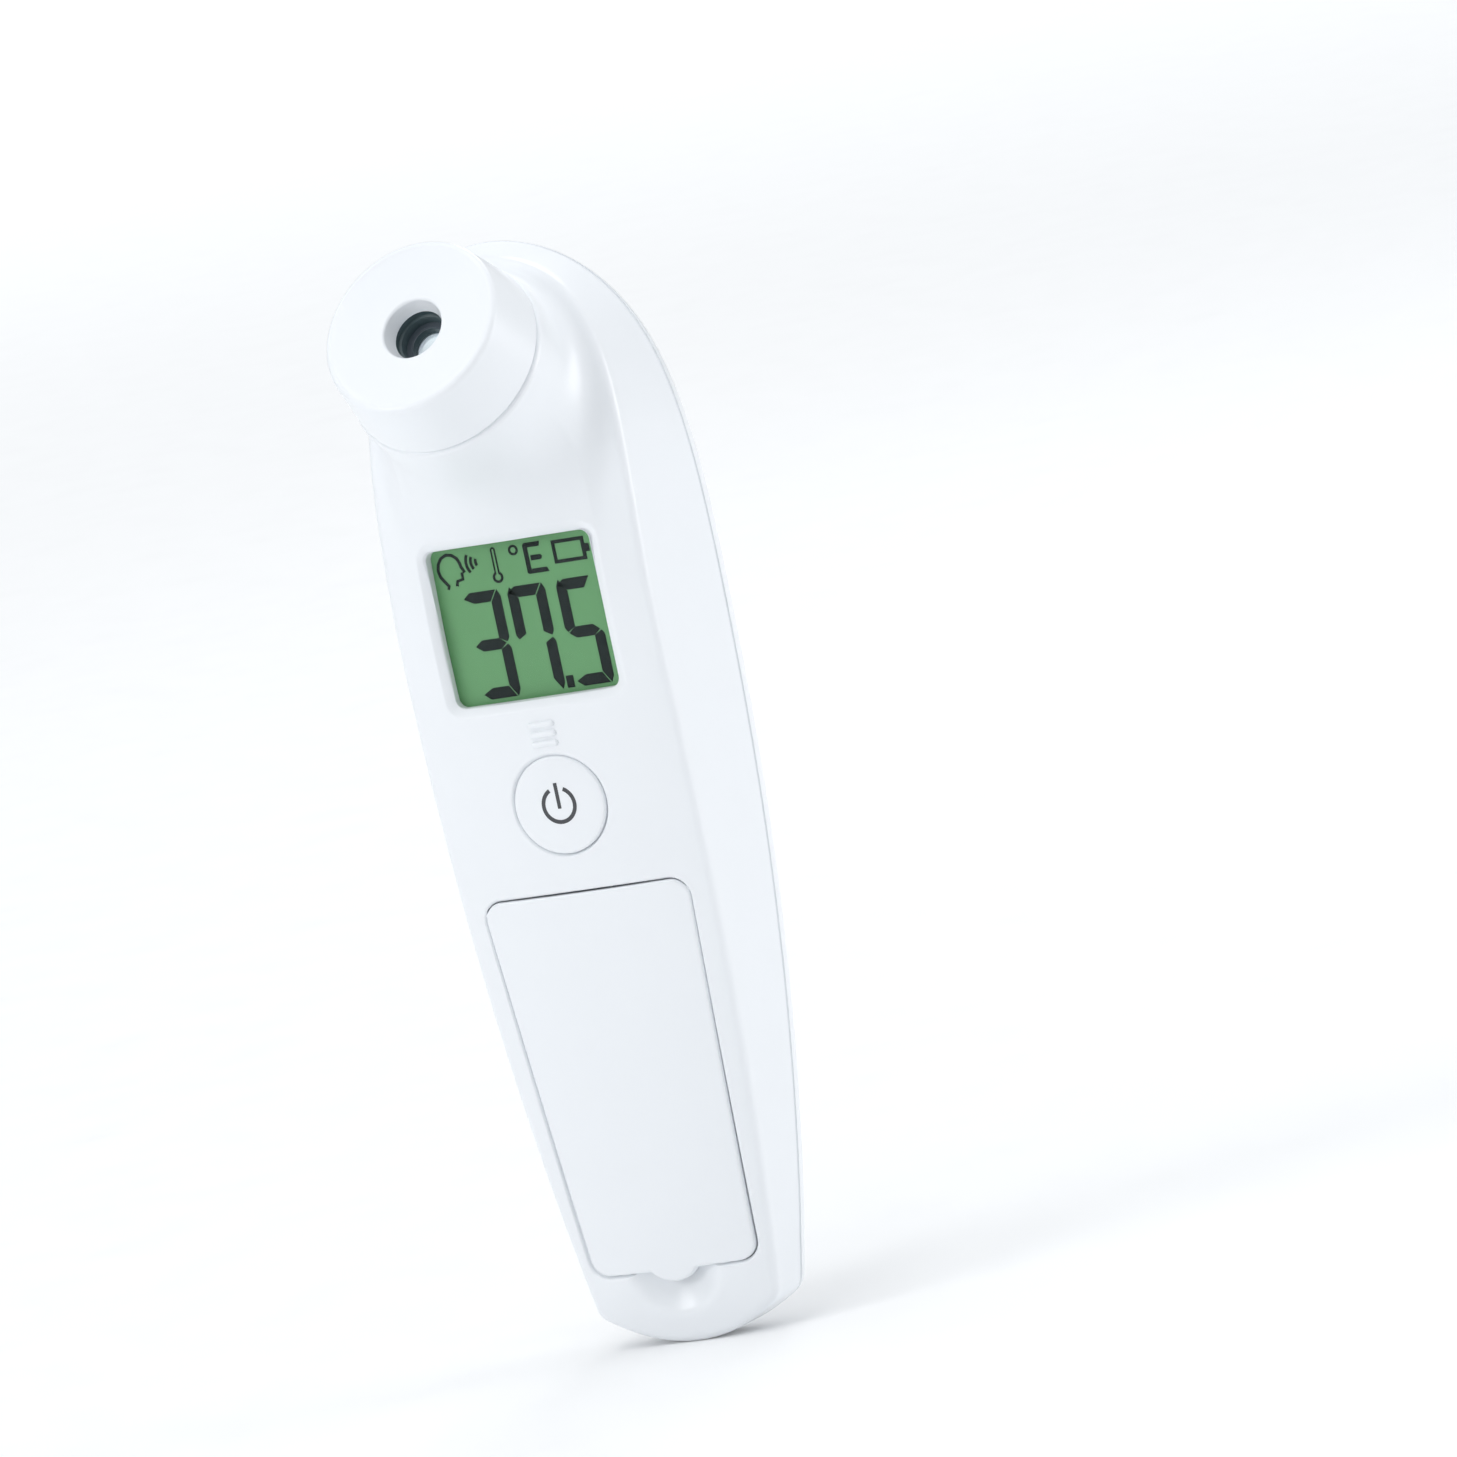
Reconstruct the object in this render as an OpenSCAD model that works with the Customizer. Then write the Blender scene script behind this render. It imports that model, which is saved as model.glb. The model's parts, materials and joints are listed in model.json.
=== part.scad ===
// Non-contact forehead thermometer. The axes run from the middle of the handle:
// +Z up the body, -Y out of the display face, +X to the right as that face is read.

/* [Body] */
// Height of the body, from the rounded foot to the top of the head
body_h = 136.8; // [135:0.2:139]
// Half the width at the seam, where the body is widest
seam_half_w = 18.75; // [18.4:0.05:19.4]
// Half the width of the display face, where it is widest
face_half_w = 17.65; // [17.3:0.05:18]
// Height at which the body is widest
widest_z = 84; // [80:1:88]
// How much narrower each side is at the foot
foot_narrowing = 6.3; // [5.6:0.1:6.6]
// Thickness of the housing walls
wall = 1.6; // [1.4:0.1:1.8]
// Radius of the edge around the display face
face_edge_r = 1.8; // [1:0.1:2.2]
// How far the display face bulges across its width
face_crown = 1.1; // [0.8:0.1:1.4]
// Gap of the groove between the housing and the rear cover
seam_gap = 0.12; // [0.08:0.02:0.2]

/* [Nose] */
// Angle at which the nose points above the horizontal
nose_tilt = 37.4; // [34:0.2:40]
// Height of the seam between neck and cap, on the nose axis
nose_z = 125.3; // [124:0.1:126]
// Radius of the cap at its seam
cap_seam_r = 12.7; // [12.4:0.1:12.9]
// Length of the cap
cap_len = 8.9; // [8:0.1:9.5]
// Radius of the hole that the sensor looks through
aperture_r = 3.4; // [3.1:0.1:3.6]

/* [Display and buttons] */
// Width of the display opening
display_w = 22.4; // [22:0.1:23]
// Height of the display opening
display_h = 19.5; // [19:0.1:20]
// Height of the display's centre
display_z = 91.9; // [91:0.1:93]
// Radius of the mode button
mode_r = 6.1; // [5.8:0.1:6.3]
// Height of the mode button's centre
mode_z = 68.9; // [68:0.1:69.4]
// Travel of the mode button
mode_travel = 0.6; // [0.3:0.1:0.8]
// Radius of the start button
start_r = 9.45; // [9.2:0.05:9.6]
// Height of the start button's centre, at its top face
start_z = 119.5; // [119:0.1:120]
// Backward slope of the start button, from the vertical
start_tilt = 16.7; // [15:0.1:18]
// Travel of the start button
start_travel = 1; // [0.6:0.1:1.2]
// Clearance around a button
button_gap = 0.3; // [0.2:0.05:0.4]

/* [Battery bay] */
// Width of the battery door at its top
door_top_w = 28; // [27.4:0.1:28.2]
// Width of the battery door at its foot
door_foot_w = 22.6; // [22.2:0.1:23]
// Height of the door's top edge
door_top_z = 57.8; // [57.4:0.1:58]
// Height of the door's bottom edge
door_foot_z = 9.6; // [9.4:0.1:10]
// Thickness of the door
door_t = 1.4; // [1.2:0.1:1.4]
// Clearance around the door
door_gap = 0.35; // [0.25:0.05:0.4]
// Radius of one AAA cell
cell_r = 5.25; // [5.1:0.05:5.25]
// Length of one AAA cell with its nub
cell_len = 44.5; // [44:0.1:44.5]

/* [Hidden] */
$fn = 48;

// The point in the middle of the handle that all places are given from
grip_y = 13;
grip_z = 45;

// Smooth fall or rise of a curve towards one end: zero at the start, one at the end
function ease(from, to, z, bend) = pow(max(0, (z - from) / (to - from)), bend);
function clamp(v, low, high) = min(high, max(low, v));

// Side profiles: depth of the face's edge, of the seam and of the back, by height
function face_edge_y(z) = 1.8 + 4.7 * ease(90, 0, z, 1.35) + 6.7 * ease(90, 136, z, 1.7);
function face_y(z) = face_edge_y(z) - face_crown;
function seam_y(z) = 19.6 - 8.6 * ease(94, 0, z, 1.6) - 6.6 * ease(94, 136, z, 2.3);
function back_rise(z) = 7.7 - 2.1 * ease(80, 0, z, 2.4) - 4.2 * ease(100, 136, z, 1.5);
function back_y(z) = seam_y(z) + back_rise(z);

// Half outlines of the face and of the seam, from the middle of the foot round to the top
foot_points = 4;
side_points = 9;
arch_points = 11;
foot_corner_z = 4.4;
spine_low = 14;
spine_high = 119.5;
function half_outline(half_w, top, narrowing, inset) = let(
  side_w = function(z) half_w - inset - narrowing * ease(widest_z, 0, z, 2.3),
  corner_z = foot_corner_z + inset * 0.8,
  corner_w = side_w(corner_z),
  arch_h = top - inset - widest_z)
  concat(
    [for (i = [0:foot_points - 1]) let(x = corner_w * i / foot_points)
      [x, inset + (corner_z - inset) * pow(x / corner_w, 2)]],
    [for (i = [0:side_points - 1]) let(z = corner_z + (widest_z - corner_z) * i / side_points)
      [side_w(z), z]],
    [for (i = [0:arch_points]) let(rise = 1 - pow(1 - i / arch_points, 2.2))
      [(half_w - inset) * sqrt(max(0, 1 - pow(rise, 5))), widest_z + arch_h * rise]]);
function seam_half(z) = seam_half_w - foot_narrowing * ease(widest_z, 0, z, 2.3);
function face_outline(inset) = half_outline(face_half_w, body_h - 1.4, foot_narrowing - 0.4, inset);
function seam_outline(inset) = half_outline(seam_half_w, body_h, foot_narrowing, inset);

// Moves a point of an outline towards the body's spine by a share of its distance
function spine_z(z) = clamp(z, spine_low, spine_high);
function drawn_in(p, share) = [p[0] * share, spine_z(p[1]) + (p[1] - spine_z(p[1])) * share];

// Rings of 3-D points on the display face, its rounded edge and the back
function face_ring(share, inset, depth) = [for (p = face_outline(inset))
  let(q = drawn_in(p, share)) [q[0], face_edge_y(q[1]) - face_crown * (1 - pow(share, 2.2)) + depth, q[1]]];
function edge_ring(angle, inset, depth) = [for (p = face_outline(inset + face_edge_r * (1 - sin(angle))))
  [p[0], face_edge_y(p[1]) + depth + face_edge_r * (1 - cos(angle)), p[1]]];
function seam_ring(inset, shift) = [for (p = seam_outline(inset)) [p[0], seam_y(p[1]) + shift, p[1]]];
function back_ring(angle, inset, shift) = [for (p = seam_outline(inset))
  let(q = drawn_in(p, pow(cos(angle), 0.6)), low = seam_y(p[1]))
  [q[0], low + shift + (back_y(q[1]) - inset - low - shift) * sin(angle), q[1]]];

// One closed solid from a list of half rings, each starting and ending on the middle plane
module ringed_solid(rings, flip = false) {
  half = len(rings[0]);
  count = 2 * half - 2;
  points = [for (ring = rings) for (i = [0:count - 1])
    i < half ? ring[i] : [-ring[count - i][0], ring[count - i][1], ring[count - i][2]]];
  walls = [for (r = [0:len(rings) - 2], i = [0:count - 1])
    let(j = (i + 1) % count, a = r * count, b = a + count)
    each [[a + i, a + j, b + j], [a + i, b + j, b + i]]];
  function lid(a) = [for (i = [0:half - 2]) let(l = (count - i) % count, m = count - i - 1)
    each (i == 0 ? [[a, a + m, a + 1]] : i == half - 2 ? [[a + i, a + l, a + i + 1]] :
      [[a + i, a + l, a + m], [a + i, a + m, a + i + 1]])];
  function turned(faces) = [for (f = faces) [f[2], f[1], f[0]]];
  last = (len(rings) - 1) * count;
  faces = concat(lid(0), walls, turned(lid(last)));
  polyhedron(points, flip ? turned(faces) : faces, convexity = 6);
}

// Corner-rounded polygon: arcs of radius r at each corner of a convex outline
function unit(v) = v / norm(v);
function rounded(corners, r, steps = 6) = let(n = len(corners)) [for (i = [0:n - 1])
  let(
    p = corners[i],
    a = unit(corners[(i + n - 1) % n] - p),
    b = unit(corners[(i + 1) % n] - p),
    half_angle = acos(a * b) / 2,
    centre = p + unit(a + b) * r / sin(half_angle),
    from = p + a * r / tan(half_angle) - centre,
    to = p + b * r / tan(half_angle) - centre)
  for (k = [0:steps]) let(m = from * (steps - k) + to * k) centre + unit(m) * r];
function rectangle(w, h) = [[-w / 2, -h / 2], [w / 2, -h / 2], [w / 2, h / 2], [-w / 2, h / 2]];

// Round tube of a given radius swept along a list of points
function side_of(path, i) = let(
  along = unit(path[min(len(path) - 1, i + 1)] - path[max(0, i - 1)]),
  guess = abs(along[0]) < 0.8 ? [1, 0, 0] : [0, 0, 1]) unit(cross(along, guess));
module swept_tube(path, radius, sides = 8) {
  n = len(path);
  points = [for (i = [0:n - 1])
    let(
      along = unit(path[min(n - 1, i + 1)] - path[max(0, i - 1)]),
      u = side_of(path, i),
      v = cross(along, u))
    for (k = [0:sides - 1]) path[i] + radius * (cos(360 * k / sides) * u + sin(360 * k / sides) * v)];
  faces = concat(
    [[for (k = [0:sides - 1]) k]],
    [for (i = [0:n - 2], k = [0:sides - 1]) let(l = (k + 1) % sides, a = i * sides, b = a + sides)
      each [[a + k, b + l, a + l], [a + k, b + k, b + l]]],
    [[for (k = [sides - 1:-1:0]) (n - 1) * sides + k]]);
  polyhedron(points, faces, convexity = 8);
}

// Frames: the whole body, the face seen from the front, the nose, the start button, the cells
module body_frame() {
  translate([0, -grip_y, -grip_z]) children();
}
module face_prism(y_from, y_to) {
  translate([0, y_to, 0]) rotate([90, 0, 0]) linear_extrude(y_to - y_from) children();
}
nose_y = -3.4;
module nose_frame() {
  body_frame() translate([0, nose_y, nose_z]) rotate([90 - nose_tilt, 0, 0]) children();
}
start_y = 25;
module start_frame() {
  body_frame() translate([0, start_y, start_z]) rotate([start_tilt - 90, 0, 0]) children();
}
bay_foot_z = 12;
bay_foot_y = 11.5;
bay_tilt = 3.3;
module bay_frame() {
  body_frame() translate([0, bay_foot_y, bay_foot_z]) rotate([bay_tilt, 0, 0]) children();
}

// Places of the stacked parts behind the display face, as depths
window_y = 2.1;
window_t = 1;
gasket_t = 0.4;
lcd_t = 2;
guide_t = 2;
board_y = 12.4;
board_t = 1;
lcd_y = window_y + window_t + gasket_t;
guide_y = lcd_y + lcd_t + 0.1;
lcd_w = 24.6;
lcd_h = 21.6;
pocket_gap = 0.15;

door_corner_r = 2.4;
door_hinge_drop = 1.4;
door_hinge_z = door_top_z - door_hinge_drop;
door_hinge_y = face_y(door_hinge_z) + 1.6;
// The door's top edge is rounded about the hinge, so that it clears the housing as it swings
door_swing_r = 1.65;
hinge_pin_r = 0.5;
hinge_pin_x = 14.8;
hinge_lug_w = 1.3;
function door_outline(grow) = rounded([
  [-door_foot_w / 2 - grow, door_foot_z - grow], [door_foot_w / 2 + grow, door_foot_z - grow],
  [door_top_w / 2 + grow, door_top_z + grow], [-door_top_w / 2 - grow, door_top_z + grow]],
  door_corner_r + grow);
tab_r = 2.7;
tab_z = door_foot_z + 0.4;
scoop_z = 5.4;

neck_bore_r = 10.2;
screw_r = 0.8;
start_flange_r = 10.7;
start_hole_depth = 2.2;

module front_housing() {
  rings = concat(
    [for (share = [0.1, 0.35, 0.6, 0.82]) face_ring(share, face_edge_r, 0)],
    [for (angle = [0, 30, 60, 90]) edge_ring(angle, 0, 0)],
    [seam_ring(0, 0), seam_ring(wall, 0)],
    [edge_ring(90, wall, wall), edge_ring(0, wall, wall)],
    [for (share = [0.82, 0.6, 0.35, 0.1]) face_ring(share, wall + face_edge_r, wall)]);
  cavity = concat(
    [for (share = [0.1, 0.35, 0.6, 0.82]) face_ring(share, wall + face_edge_r, wall * 0.9)],
    [edge_ring(0, wall * 0.9, wall * 0.9), edge_ring(90, wall * 0.9, wall * 0.9), seam_ring(wall * 0.9, 1)]);
  color("white") {
    difference() {
      union() {
        body_frame() ringed_solid(rings);
        difference() {
          intersection() {
            nose_frame() rotate_extrude($fn = 72) neck_profile();
            body_frame() face_prism(-30, 16) polygon(full_outline(seam_outline(0.5)));
          }
          body_frame() ringed_solid(cavity);
        }
        body_frame() {
          // Frame that holds the display window, the scoop's floor and the hinge lugs
          face_prism(window_y, lcd_y + 1) translate([0, display_z]) difference() {
            square([lcd_w + 2.6, lcd_h + 2.6], center = true);
            square([lcd_w - 2, lcd_h - 2], center = true);
          }
          translate([0, face_y(scoop_z) + 0.9, scoop_z + 1.2]) rotate([-90, 0, 0]) cylinder(h = 2.4, r = 5.2);
          for (side = [-1, 1]) translate([side * (hinge_pin_x + 0.1), door_hinge_y + 0.5, door_hinge_z])
            rotate([0, 90, 0]) cylinder(h = hinge_lug_w, r = 1.1, center = true);
        }
      }
      nose_frame() {
        translate([0, 0, -8]) cylinder(h = 8.5, r = neck_bore_r);
        translate([0, 0, -15]) cylinder(h = 8.4, r = neck_inner_r);
      }
      body_frame() {
        face_prism(-2, 4) polygon([for (p = rounded(rectangle(display_w, display_h), 1.2)) p + [0, display_z]]);
        face_prism(window_y, 9) polygon([for (p = rectangle(lcd_w + 2 * pocket_gap, lcd_h + 2 * pocket_gap))
          p + [0, display_z]]);
        translate([0, -1, mode_z]) rotate([-90, 0, 0]) cylinder(h = 6, r = mode_r + button_gap);
        face_prism(-2, 9) polygon(door_outline(door_gap));
        face_prism(-2, 9) translate([0, tab_z]) circle(r = tab_r + door_gap);
        translate([0, face_y(scoop_z) - 7.8, scoop_z]) sphere(r = 9.4);
        for (side = [-1, 1]) translate([side * (hinge_pin_x - 0.6), door_hinge_y, door_hinge_z])
          rotate([0, 90, 0]) cylinder(h = 2, r = hinge_pin_r + 0.05, center = true);
        // Room for the door's rounded top edge as it swings
        translate([0, door_hinge_y, door_hinge_z]) rotate([0, 90, 0])
          cylinder(h = door_top_w, r = door_swing_r + 0.05, center = true);
      }
    }
  }
}
function full_outline(half) = concat(half, [for (i = [len(half) - 2:-1:1]) [-half[i][0], half[i][1]]]);

// Neck: the lip at the cap's seam, then a hollow curve that flares into the display face
neck_lip_r = 13.4;
neck_inner_r = 11.6;
flare_r = 9;
flare_start = -6;
flare_steps = 6;
neck_foot = -17;
module neck_profile() {
  flare = [for (i = [0:flare_steps]) let(a = 34 * i / flare_steps)
    [neck_lip_r + flare_r * (1 - cos(a)), flare_start - flare_r * sin(a)]];
  foot_r = flare[flare_steps][0];
  polygon(concat([[neck_bore_r - 1, 0], [neck_lip_r - 0.5, 0], [neck_lip_r - 0.1, -0.25], [neck_lip_r, -0.7]],
    flare, [[foot_r, neck_foot], [neck_inner_r, neck_foot], [neck_inner_r, -6.6], [neck_bore_r - 1, -6.6]]));
}

// Rear cover with its button well and the snap hooks that reach into the housing
hook_heights = [20, 70, 96];
module rear_cover() {
  levels = [84, 70, 56, 42, 28, 14];
  rings = concat(
    [for (angle = levels) back_ring(angle, 0, seam_gap)],
    [seam_ring(0, seam_gap), seam_ring(wall, seam_gap)],
    [for (i = [5:-1:0]) back_ring(levels[i], wall, seam_gap)]);
  color("white") difference() {
    union() {
      body_frame() ringed_solid(rings, flip = true);
      intersection() {
        start_frame() translate([0, 0, -4.4]) cylinder(h = 3.6, r = start_flange_r + 1.6);
        body_frame() ringed_solid([for (angle = [84, 70, 56, 42, 28, 14, 0]) back_ring(angle, 0.8, seam_gap)],
          flip = true);
      }
      body_frame() for (z = hook_heights, side = [-1, 1]) translate([side * (seam_half(z) - wall), seam_y(z), z]) {
        translate([-side * 0.4, 1.5, 0]) cube([1.6, 2.4, 5], center = true);
        translate([-side * 1.1, -0.6, 0]) cube([0.8, 3.4, 5], center = true);
      }
    }
    start_frame() {
      translate([0, 0, -8]) cylinder(h = 10, r = start_r + button_gap);
      translate([0, 0, -12]) cylinder(h = 12 - start_hole_depth - 1.4, r = start_flange_r + button_gap);
    }
  }
}

// Nose cap: skirt, rounded rim, slightly dished face and the tube around the aperture
cap_rim_r = 11.7;
cap_wall = 1.3;
tube_end = cap_len - 3.3;
module probe_cap() {
  rim = 0.9;
  color("white") nose_frame() rotate_extrude($fn = 72) polygon(concat(
    [[cap_seam_r, 0.15]],
    [for (a = [10:20:90]) [cap_rim_r - rim + rim * cos(a), cap_len - rim + rim * sin(a)]],
    [[cap_rim_r - rim - 0.8, cap_len], [aperture_r + 0.35, cap_len - 0.3], [aperture_r + 0.1, cap_len - 0.4], [aperture_r, cap_len - 0.7]],
    [[aperture_r, tube_end], [aperture_r + 1.2, tube_end], [aperture_r + 1.2, cap_len - cap_wall - 0.3]],
    [[cap_rim_r - 1.6, cap_len - cap_wall - 0.3], [cap_seam_r - 1.5, 2]],
    [[neck_bore_r - 1.5, 1], [neck_bore_r - 1.5, -2.6], [neck_bore_r - 0.05, -2.6], [neck_bore_r - 0.05, 0.15]]));
}

// Sensor stack along the nose axis
barrel_r = 4.4;
module lens_ring() {
  color("dimgray") nose_frame() translate([0, 0, tube_end - 1.5]) rotate_extrude()
    polygon([[2.35, 0], [barrel_r, 0], [barrel_r, 1.4], [2.95, 1.4], [2.35, 0.3]]);
}
lens_z = 2.35;
module infrared_lens() {
  bulge_r = 7;
  color("lightsteelblue") nose_frame() translate([0, 0, lens_z]) intersection() {
    cylinder(h = 1.2, r = 2.3);
    translate([0, 0, 1.2 - bulge_r]) sphere(r = bulge_r);
  }
}
module sensor_barrel() {
  top = tube_end - 1.55;
  color("slategray") nose_frame() rotate_extrude()
    polygon([[3.5, -5.6], [barrel_r, -5.6], [barrel_r, top], [2.35, top], [1.9, top - 0.4],
      [1.9, top - 0.48], [2.35, top - 0.48], [2.35, 1], [3.5, -0.6]]);
}
module sensor_holder() {
  color("gainsboro") nose_frame() difference() {
    union() {
      translate([0, 0, -5]) cylinder(h = 1.4, r = neck_bore_r - 0.1);
      translate([0, 0, -5]) cylinder(h = 4, r = barrel_r + 1.3);
    }
    translate([0, 0, -6]) cylinder(h = 6, r = barrel_r + 0.02);
    for (a = [0:120:240]) rotate(a) translate([7.9, 0, -6]) cylinder(h = 3, r = 0.9);
  }
}
module barrel_gasket() {
  color("black") nose_frame() translate([0, 0, -0.4]) rotate_extrude()
    translate([barrel_r + 0.62, 0]) circle(r = 0.6, $fn = 24);
}
module thermopile_can() {
  color("silver") nose_frame() translate([0, 0, -3.9]) difference() {
    cylinder(h = 2.7, r = 2.35);
    translate([0, 0, -0.1]) cylinder(h = 2.5, r = 2.1);
    cylinder(h = 4, r = 1.25);
  }
}
module thermopile_window() {
  color("darkslateblue") nose_frame() translate([0, 0, -1.85]) cylinder(h = 0.3, r = 1.7);
}
module thermopile_base() {
  color("goldenrod") nose_frame() {
    translate([0, 0, -4.7]) cylinder(h = 0.8, r = 2.7);
    for (a = [45:90:315]) rotate(a) translate([1.27, 0, -7.9]) cylinder(h = 3.3, r = 0.22);
  }
}
sensor_board_z = -7.2;
module sensor_board() {
  color("darkgreen") nose_frame() translate([0, 0, sensor_board_z]) difference() {
    cylinder(h = 0.8, r = 5.6);
    for (a = [45:90:315]) rotate(a) translate([1.27, 0, -1]) cylinder(h = 3, r = 0.26);
  }
}

// Flat lead from the sensor board down to the front of the main board
cable_path = [[4.1, 121.0], [5.2, 119.6], [6.8, 117.6], [8.4, 115.6], [9.8, 113.6], [10.8, 111.8],
  [11.5, 110.2], [12.1, 108.8]];
module sensor_cable() {
  cable_w = 5;
  cable_t = 0.5;
  back = [for (i = [0:len(cable_path) - 1]) cable_path[i]];
  front = [for (i = [len(cable_path) - 1:-1:0]) cable_path[i] - [cable_t, 0]];
  color("orange") body_frame() rotate([90, 0, 90]) translate([0, 0, -cable_w / 2])
    linear_extrude(cable_w) polygon(concat(back, front));
}

// Display stack
module plate(w, h, y, t, corner = 0.6) {
  face_prism(y, y + t) polygon([for (p = rounded(rectangle(w, h), corner, 3)) p + [0, display_z]]);
}
module display_window() {
  color("palegreen", 0.4) body_frame() plate(lcd_w, lcd_h, window_y, window_t);
}
module window_gasket() {
  color("black") body_frame() difference() {
    plate(lcd_w, lcd_h, window_y + window_t, gasket_t);
    plate(display_w + 0.6, display_h + 0.6, 0, 9);
  }
}
module lcd_panel() {
  color("mediumseagreen") body_frame() plate(lcd_w, lcd_h, lcd_y, lcd_t);
}
// Seven-segment figures: each digit is a list of lit segments, named a to g as usual
digit_w = 4.4;
digit_h = 12.2;
digit_x = [-4.9, 1.3, 7.5];
digit_z = -3;
stroke = 1.15;
lit = ["abgcd", "abc", "afgcd"];
module segment(along, width) {
  tip = width / 2;
  polygon([[-along / 2, 0], [tip - along / 2, tip], [along / 2 - tip, tip], [along / 2, 0],
    [along / 2 - tip, -tip], [tip - along / 2, -tip]]);
}
module digit(letters) {
  x = digit_w / 2;
  z = digit_h / 2;
  seats = [["a", 0, z, 0], ["b", x, z / 2, 90], ["c", x, -z / 2, 90], ["d", 0, -z, 0],
    ["e", -x, -z / 2, 90], ["f", -x, z / 2, 90], ["g", 0, 0, 0]];
  for (seat = seats) if (len(search(seat[0], letters)) > 0)
    translate([seat[1], seat[2]]) rotate(seat[3]) segment((seat[3] == 0 ? digit_w : digit_h / 2) - 0.3, stroke);
}
module display_segments() {
  thick = 0.06;
  color("black") body_frame() face_prism(lcd_y - thick, lcd_y) translate([0, display_z]) {
    for (i = [0:2]) translate([digit_x[i], digit_z]) digit(lit[i]);
    translate([4.4, digit_z - digit_h / 2]) square([0.9, 1.1], center = true);
    // Battery outline, thermometer and degree mark in the top row
    difference() {
      translate([6.6, 7.4]) square([4.4, 2.3], center = true);
      translate([6.6, 7.4]) square([3.6, 1.5], center = true);
    }
    translate([9.05, 7.4]) square([0.5, 1.1], center = true);
    translate([-3.2, 5.5]) circle(r = 0.65);
    translate([-3.2, 7.3]) square([0.5, 3.4], center = true);
    difference() {
      translate([-0.6, 8.2]) circle(r = 0.6);
      translate([-0.6, 8.2]) circle(r = 0.3);
    }
  }
}
module backlight_guide() {
  color("honeydew") body_frame() plate(lcd_w - 2, lcd_h - 4.4, guide_y, guide_t);
}
module backlight_leds() {
  color("yellow") body_frame() for (x = [-6, 0, 6])
    translate([x, guide_y + 1, display_z + 9.55]) cube([2, 1.4, 0.9], center = true);
}
module lcd_holder() {
  color("whitesmoke") body_frame() difference() {
    plate(lcd_w + 0.2, lcd_h + 0.2, guide_y + 0.05, board_y - guide_y - 0.1);
    plate(lcd_w - 1.8, lcd_h - 4.2, 0, guide_y + guide_t + 0.05);
    plate(lcd_w - 6, lcd_h - 8, 0, 20);
    for (end = [-1, 1]) face_prism(0, 20) translate([0, display_z + end * (lcd_h / 2 - 1.1)])
      square([lcd_w - 3, 1.7], center = true);
  }
}
module zebra_strips() {
  color("darkgray") body_frame() face_prism(lcd_y + lcd_t, board_y)
    translate([0, display_z - lcd_h / 2 + 1.1]) square([lcd_w - 4, 1.5], center = true);
}

// Main board and what is soldered to it
board_foot_z = 61.4;
board_top_z = 128;
board_half_w = 14.4;
board_outline = [[-board_half_w, board_foot_z], [board_half_w, board_foot_z], [board_half_w, 116],
  [9.4, board_top_z], [-9.4, board_top_z], [-board_half_w, 116]];
board_screw_places = [[-11.9, 76], [11.9, 76], [0, 125.2]];
board_screw_hole_r = 1.1;
module main_board() {
  color("darkgreen") body_frame() difference() {
    face_prism(board_y, board_y + board_t) polygon(board_outline);
    for (place = board_screw_places) translate([place[0], 0, place[1]])
      rotate([-90, 0, 0]) cylinder(h = 30, r = board_screw_hole_r);
  }
}
module board_screws() {
  color("silver") body_frame() for (place = board_screw_places)
    translate([place[0], board_y, place[1]]) rotate([-90, 0, 0]) {
      translate([0, 0, -3.4]) cylinder(h = 3.4 + board_t, r = screw_r);
      difference() {
        translate([0, 0, board_t]) cylinder(h = 1.1, r = 1.6);
        translate([0, 0, board_t + 0.5]) for (a = [0, 90]) rotate(a) cube([2, 0.4, 1.4], center = true);
      }
    }
}
rear_y = board_y + board_t;
module microcontroller() {
  chip = 9;
  color("black") body_frame() {
    translate([-chip / 2, rear_y + 0.1, 95]) cube([chip, 1.3, chip]);
    for (side = [-1, 1], i = [-4:4]) translate([side * (chip / 2 + 0.4), rear_y + 0.2, 95 + chip / 2 + i * 0.9])
      cube([1, 0.4, 0.4], center = true);
  }
}
module chip_components() {
  color("tan") body_frame() {
    for (i = [0:5]) translate([-11.5, rear_y, 92 + 3.2 * i]) cube([1.6, 0.7, 0.9]);
    for (i = [0:4]) translate([9.8, rear_y, 90 + 3.4 * i]) cube([2, 0.8, 1.2]);
    for (i = [0:3]) translate([-9 + 4.6 * i, rear_y, 87.4]) cube([1.2, 0.6, 1.8]);
  }
}
module crystal() {
  color("silver") body_frame() face_prism(rear_y, rear_y + 1.6)
    polygon([for (p = rounded(rectangle(7.4, 2.6), 1.2, 4)) p + [0, 107.6]]);
}
buzzer_z = 78;
module buzzer() {
  color("black") body_frame() translate([0, rear_y, buzzer_z]) rotate([-90, 0, 0]) difference() {
    cylinder(h = 5, r = 6);
    translate([0, 0, 3.8]) cylinder(h = 3, r = 1);
  }
}

// Buttons, their switches and the return spring of the start button
mode_skirt_y = 3.6;
mode_flange_t = 1;
plunger_gap = 0.1;
mode_plunger_tip = 8.3;
module mode_button() {
  color("white") body_frame() translate([0, 0, mode_z]) rotate([-90, 0, 0]) difference() {
    union() {
      translate([0, 0, face_y(mode_z) - 0.1]) cylinder(h = mode_skirt_y - face_y(mode_z) + 0.2, r = mode_r);
      translate([0, 0, mode_skirt_y]) cylinder(h = mode_flange_t, r = mode_r + 1.1);
      cylinder(h = mode_plunger_tip - plunger_gap, r = 1.6);
    }
    translate([0, 0, face_y(mode_z) - 4]) cylinder(h = 3.9, r = 2.5);
    translate([0, 0, face_y(mode_z) + 1.4]) difference() {
      cylinder(h = 6, r = mode_r - 1.2);
      cylinder(h = 6, r = 1.6);
    }
  }
}
module tact_body() {
  translate([-3, -3, 0]) cube([6, 6, 3.1]);
  for (side = [-1, 1], end = [-1, 1]) translate([side * 3.3, end * 2.2, 0.4]) cube([0.8, 0.7, 0.6], center = true);
}
mode_travel_room = 0.1;
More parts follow.
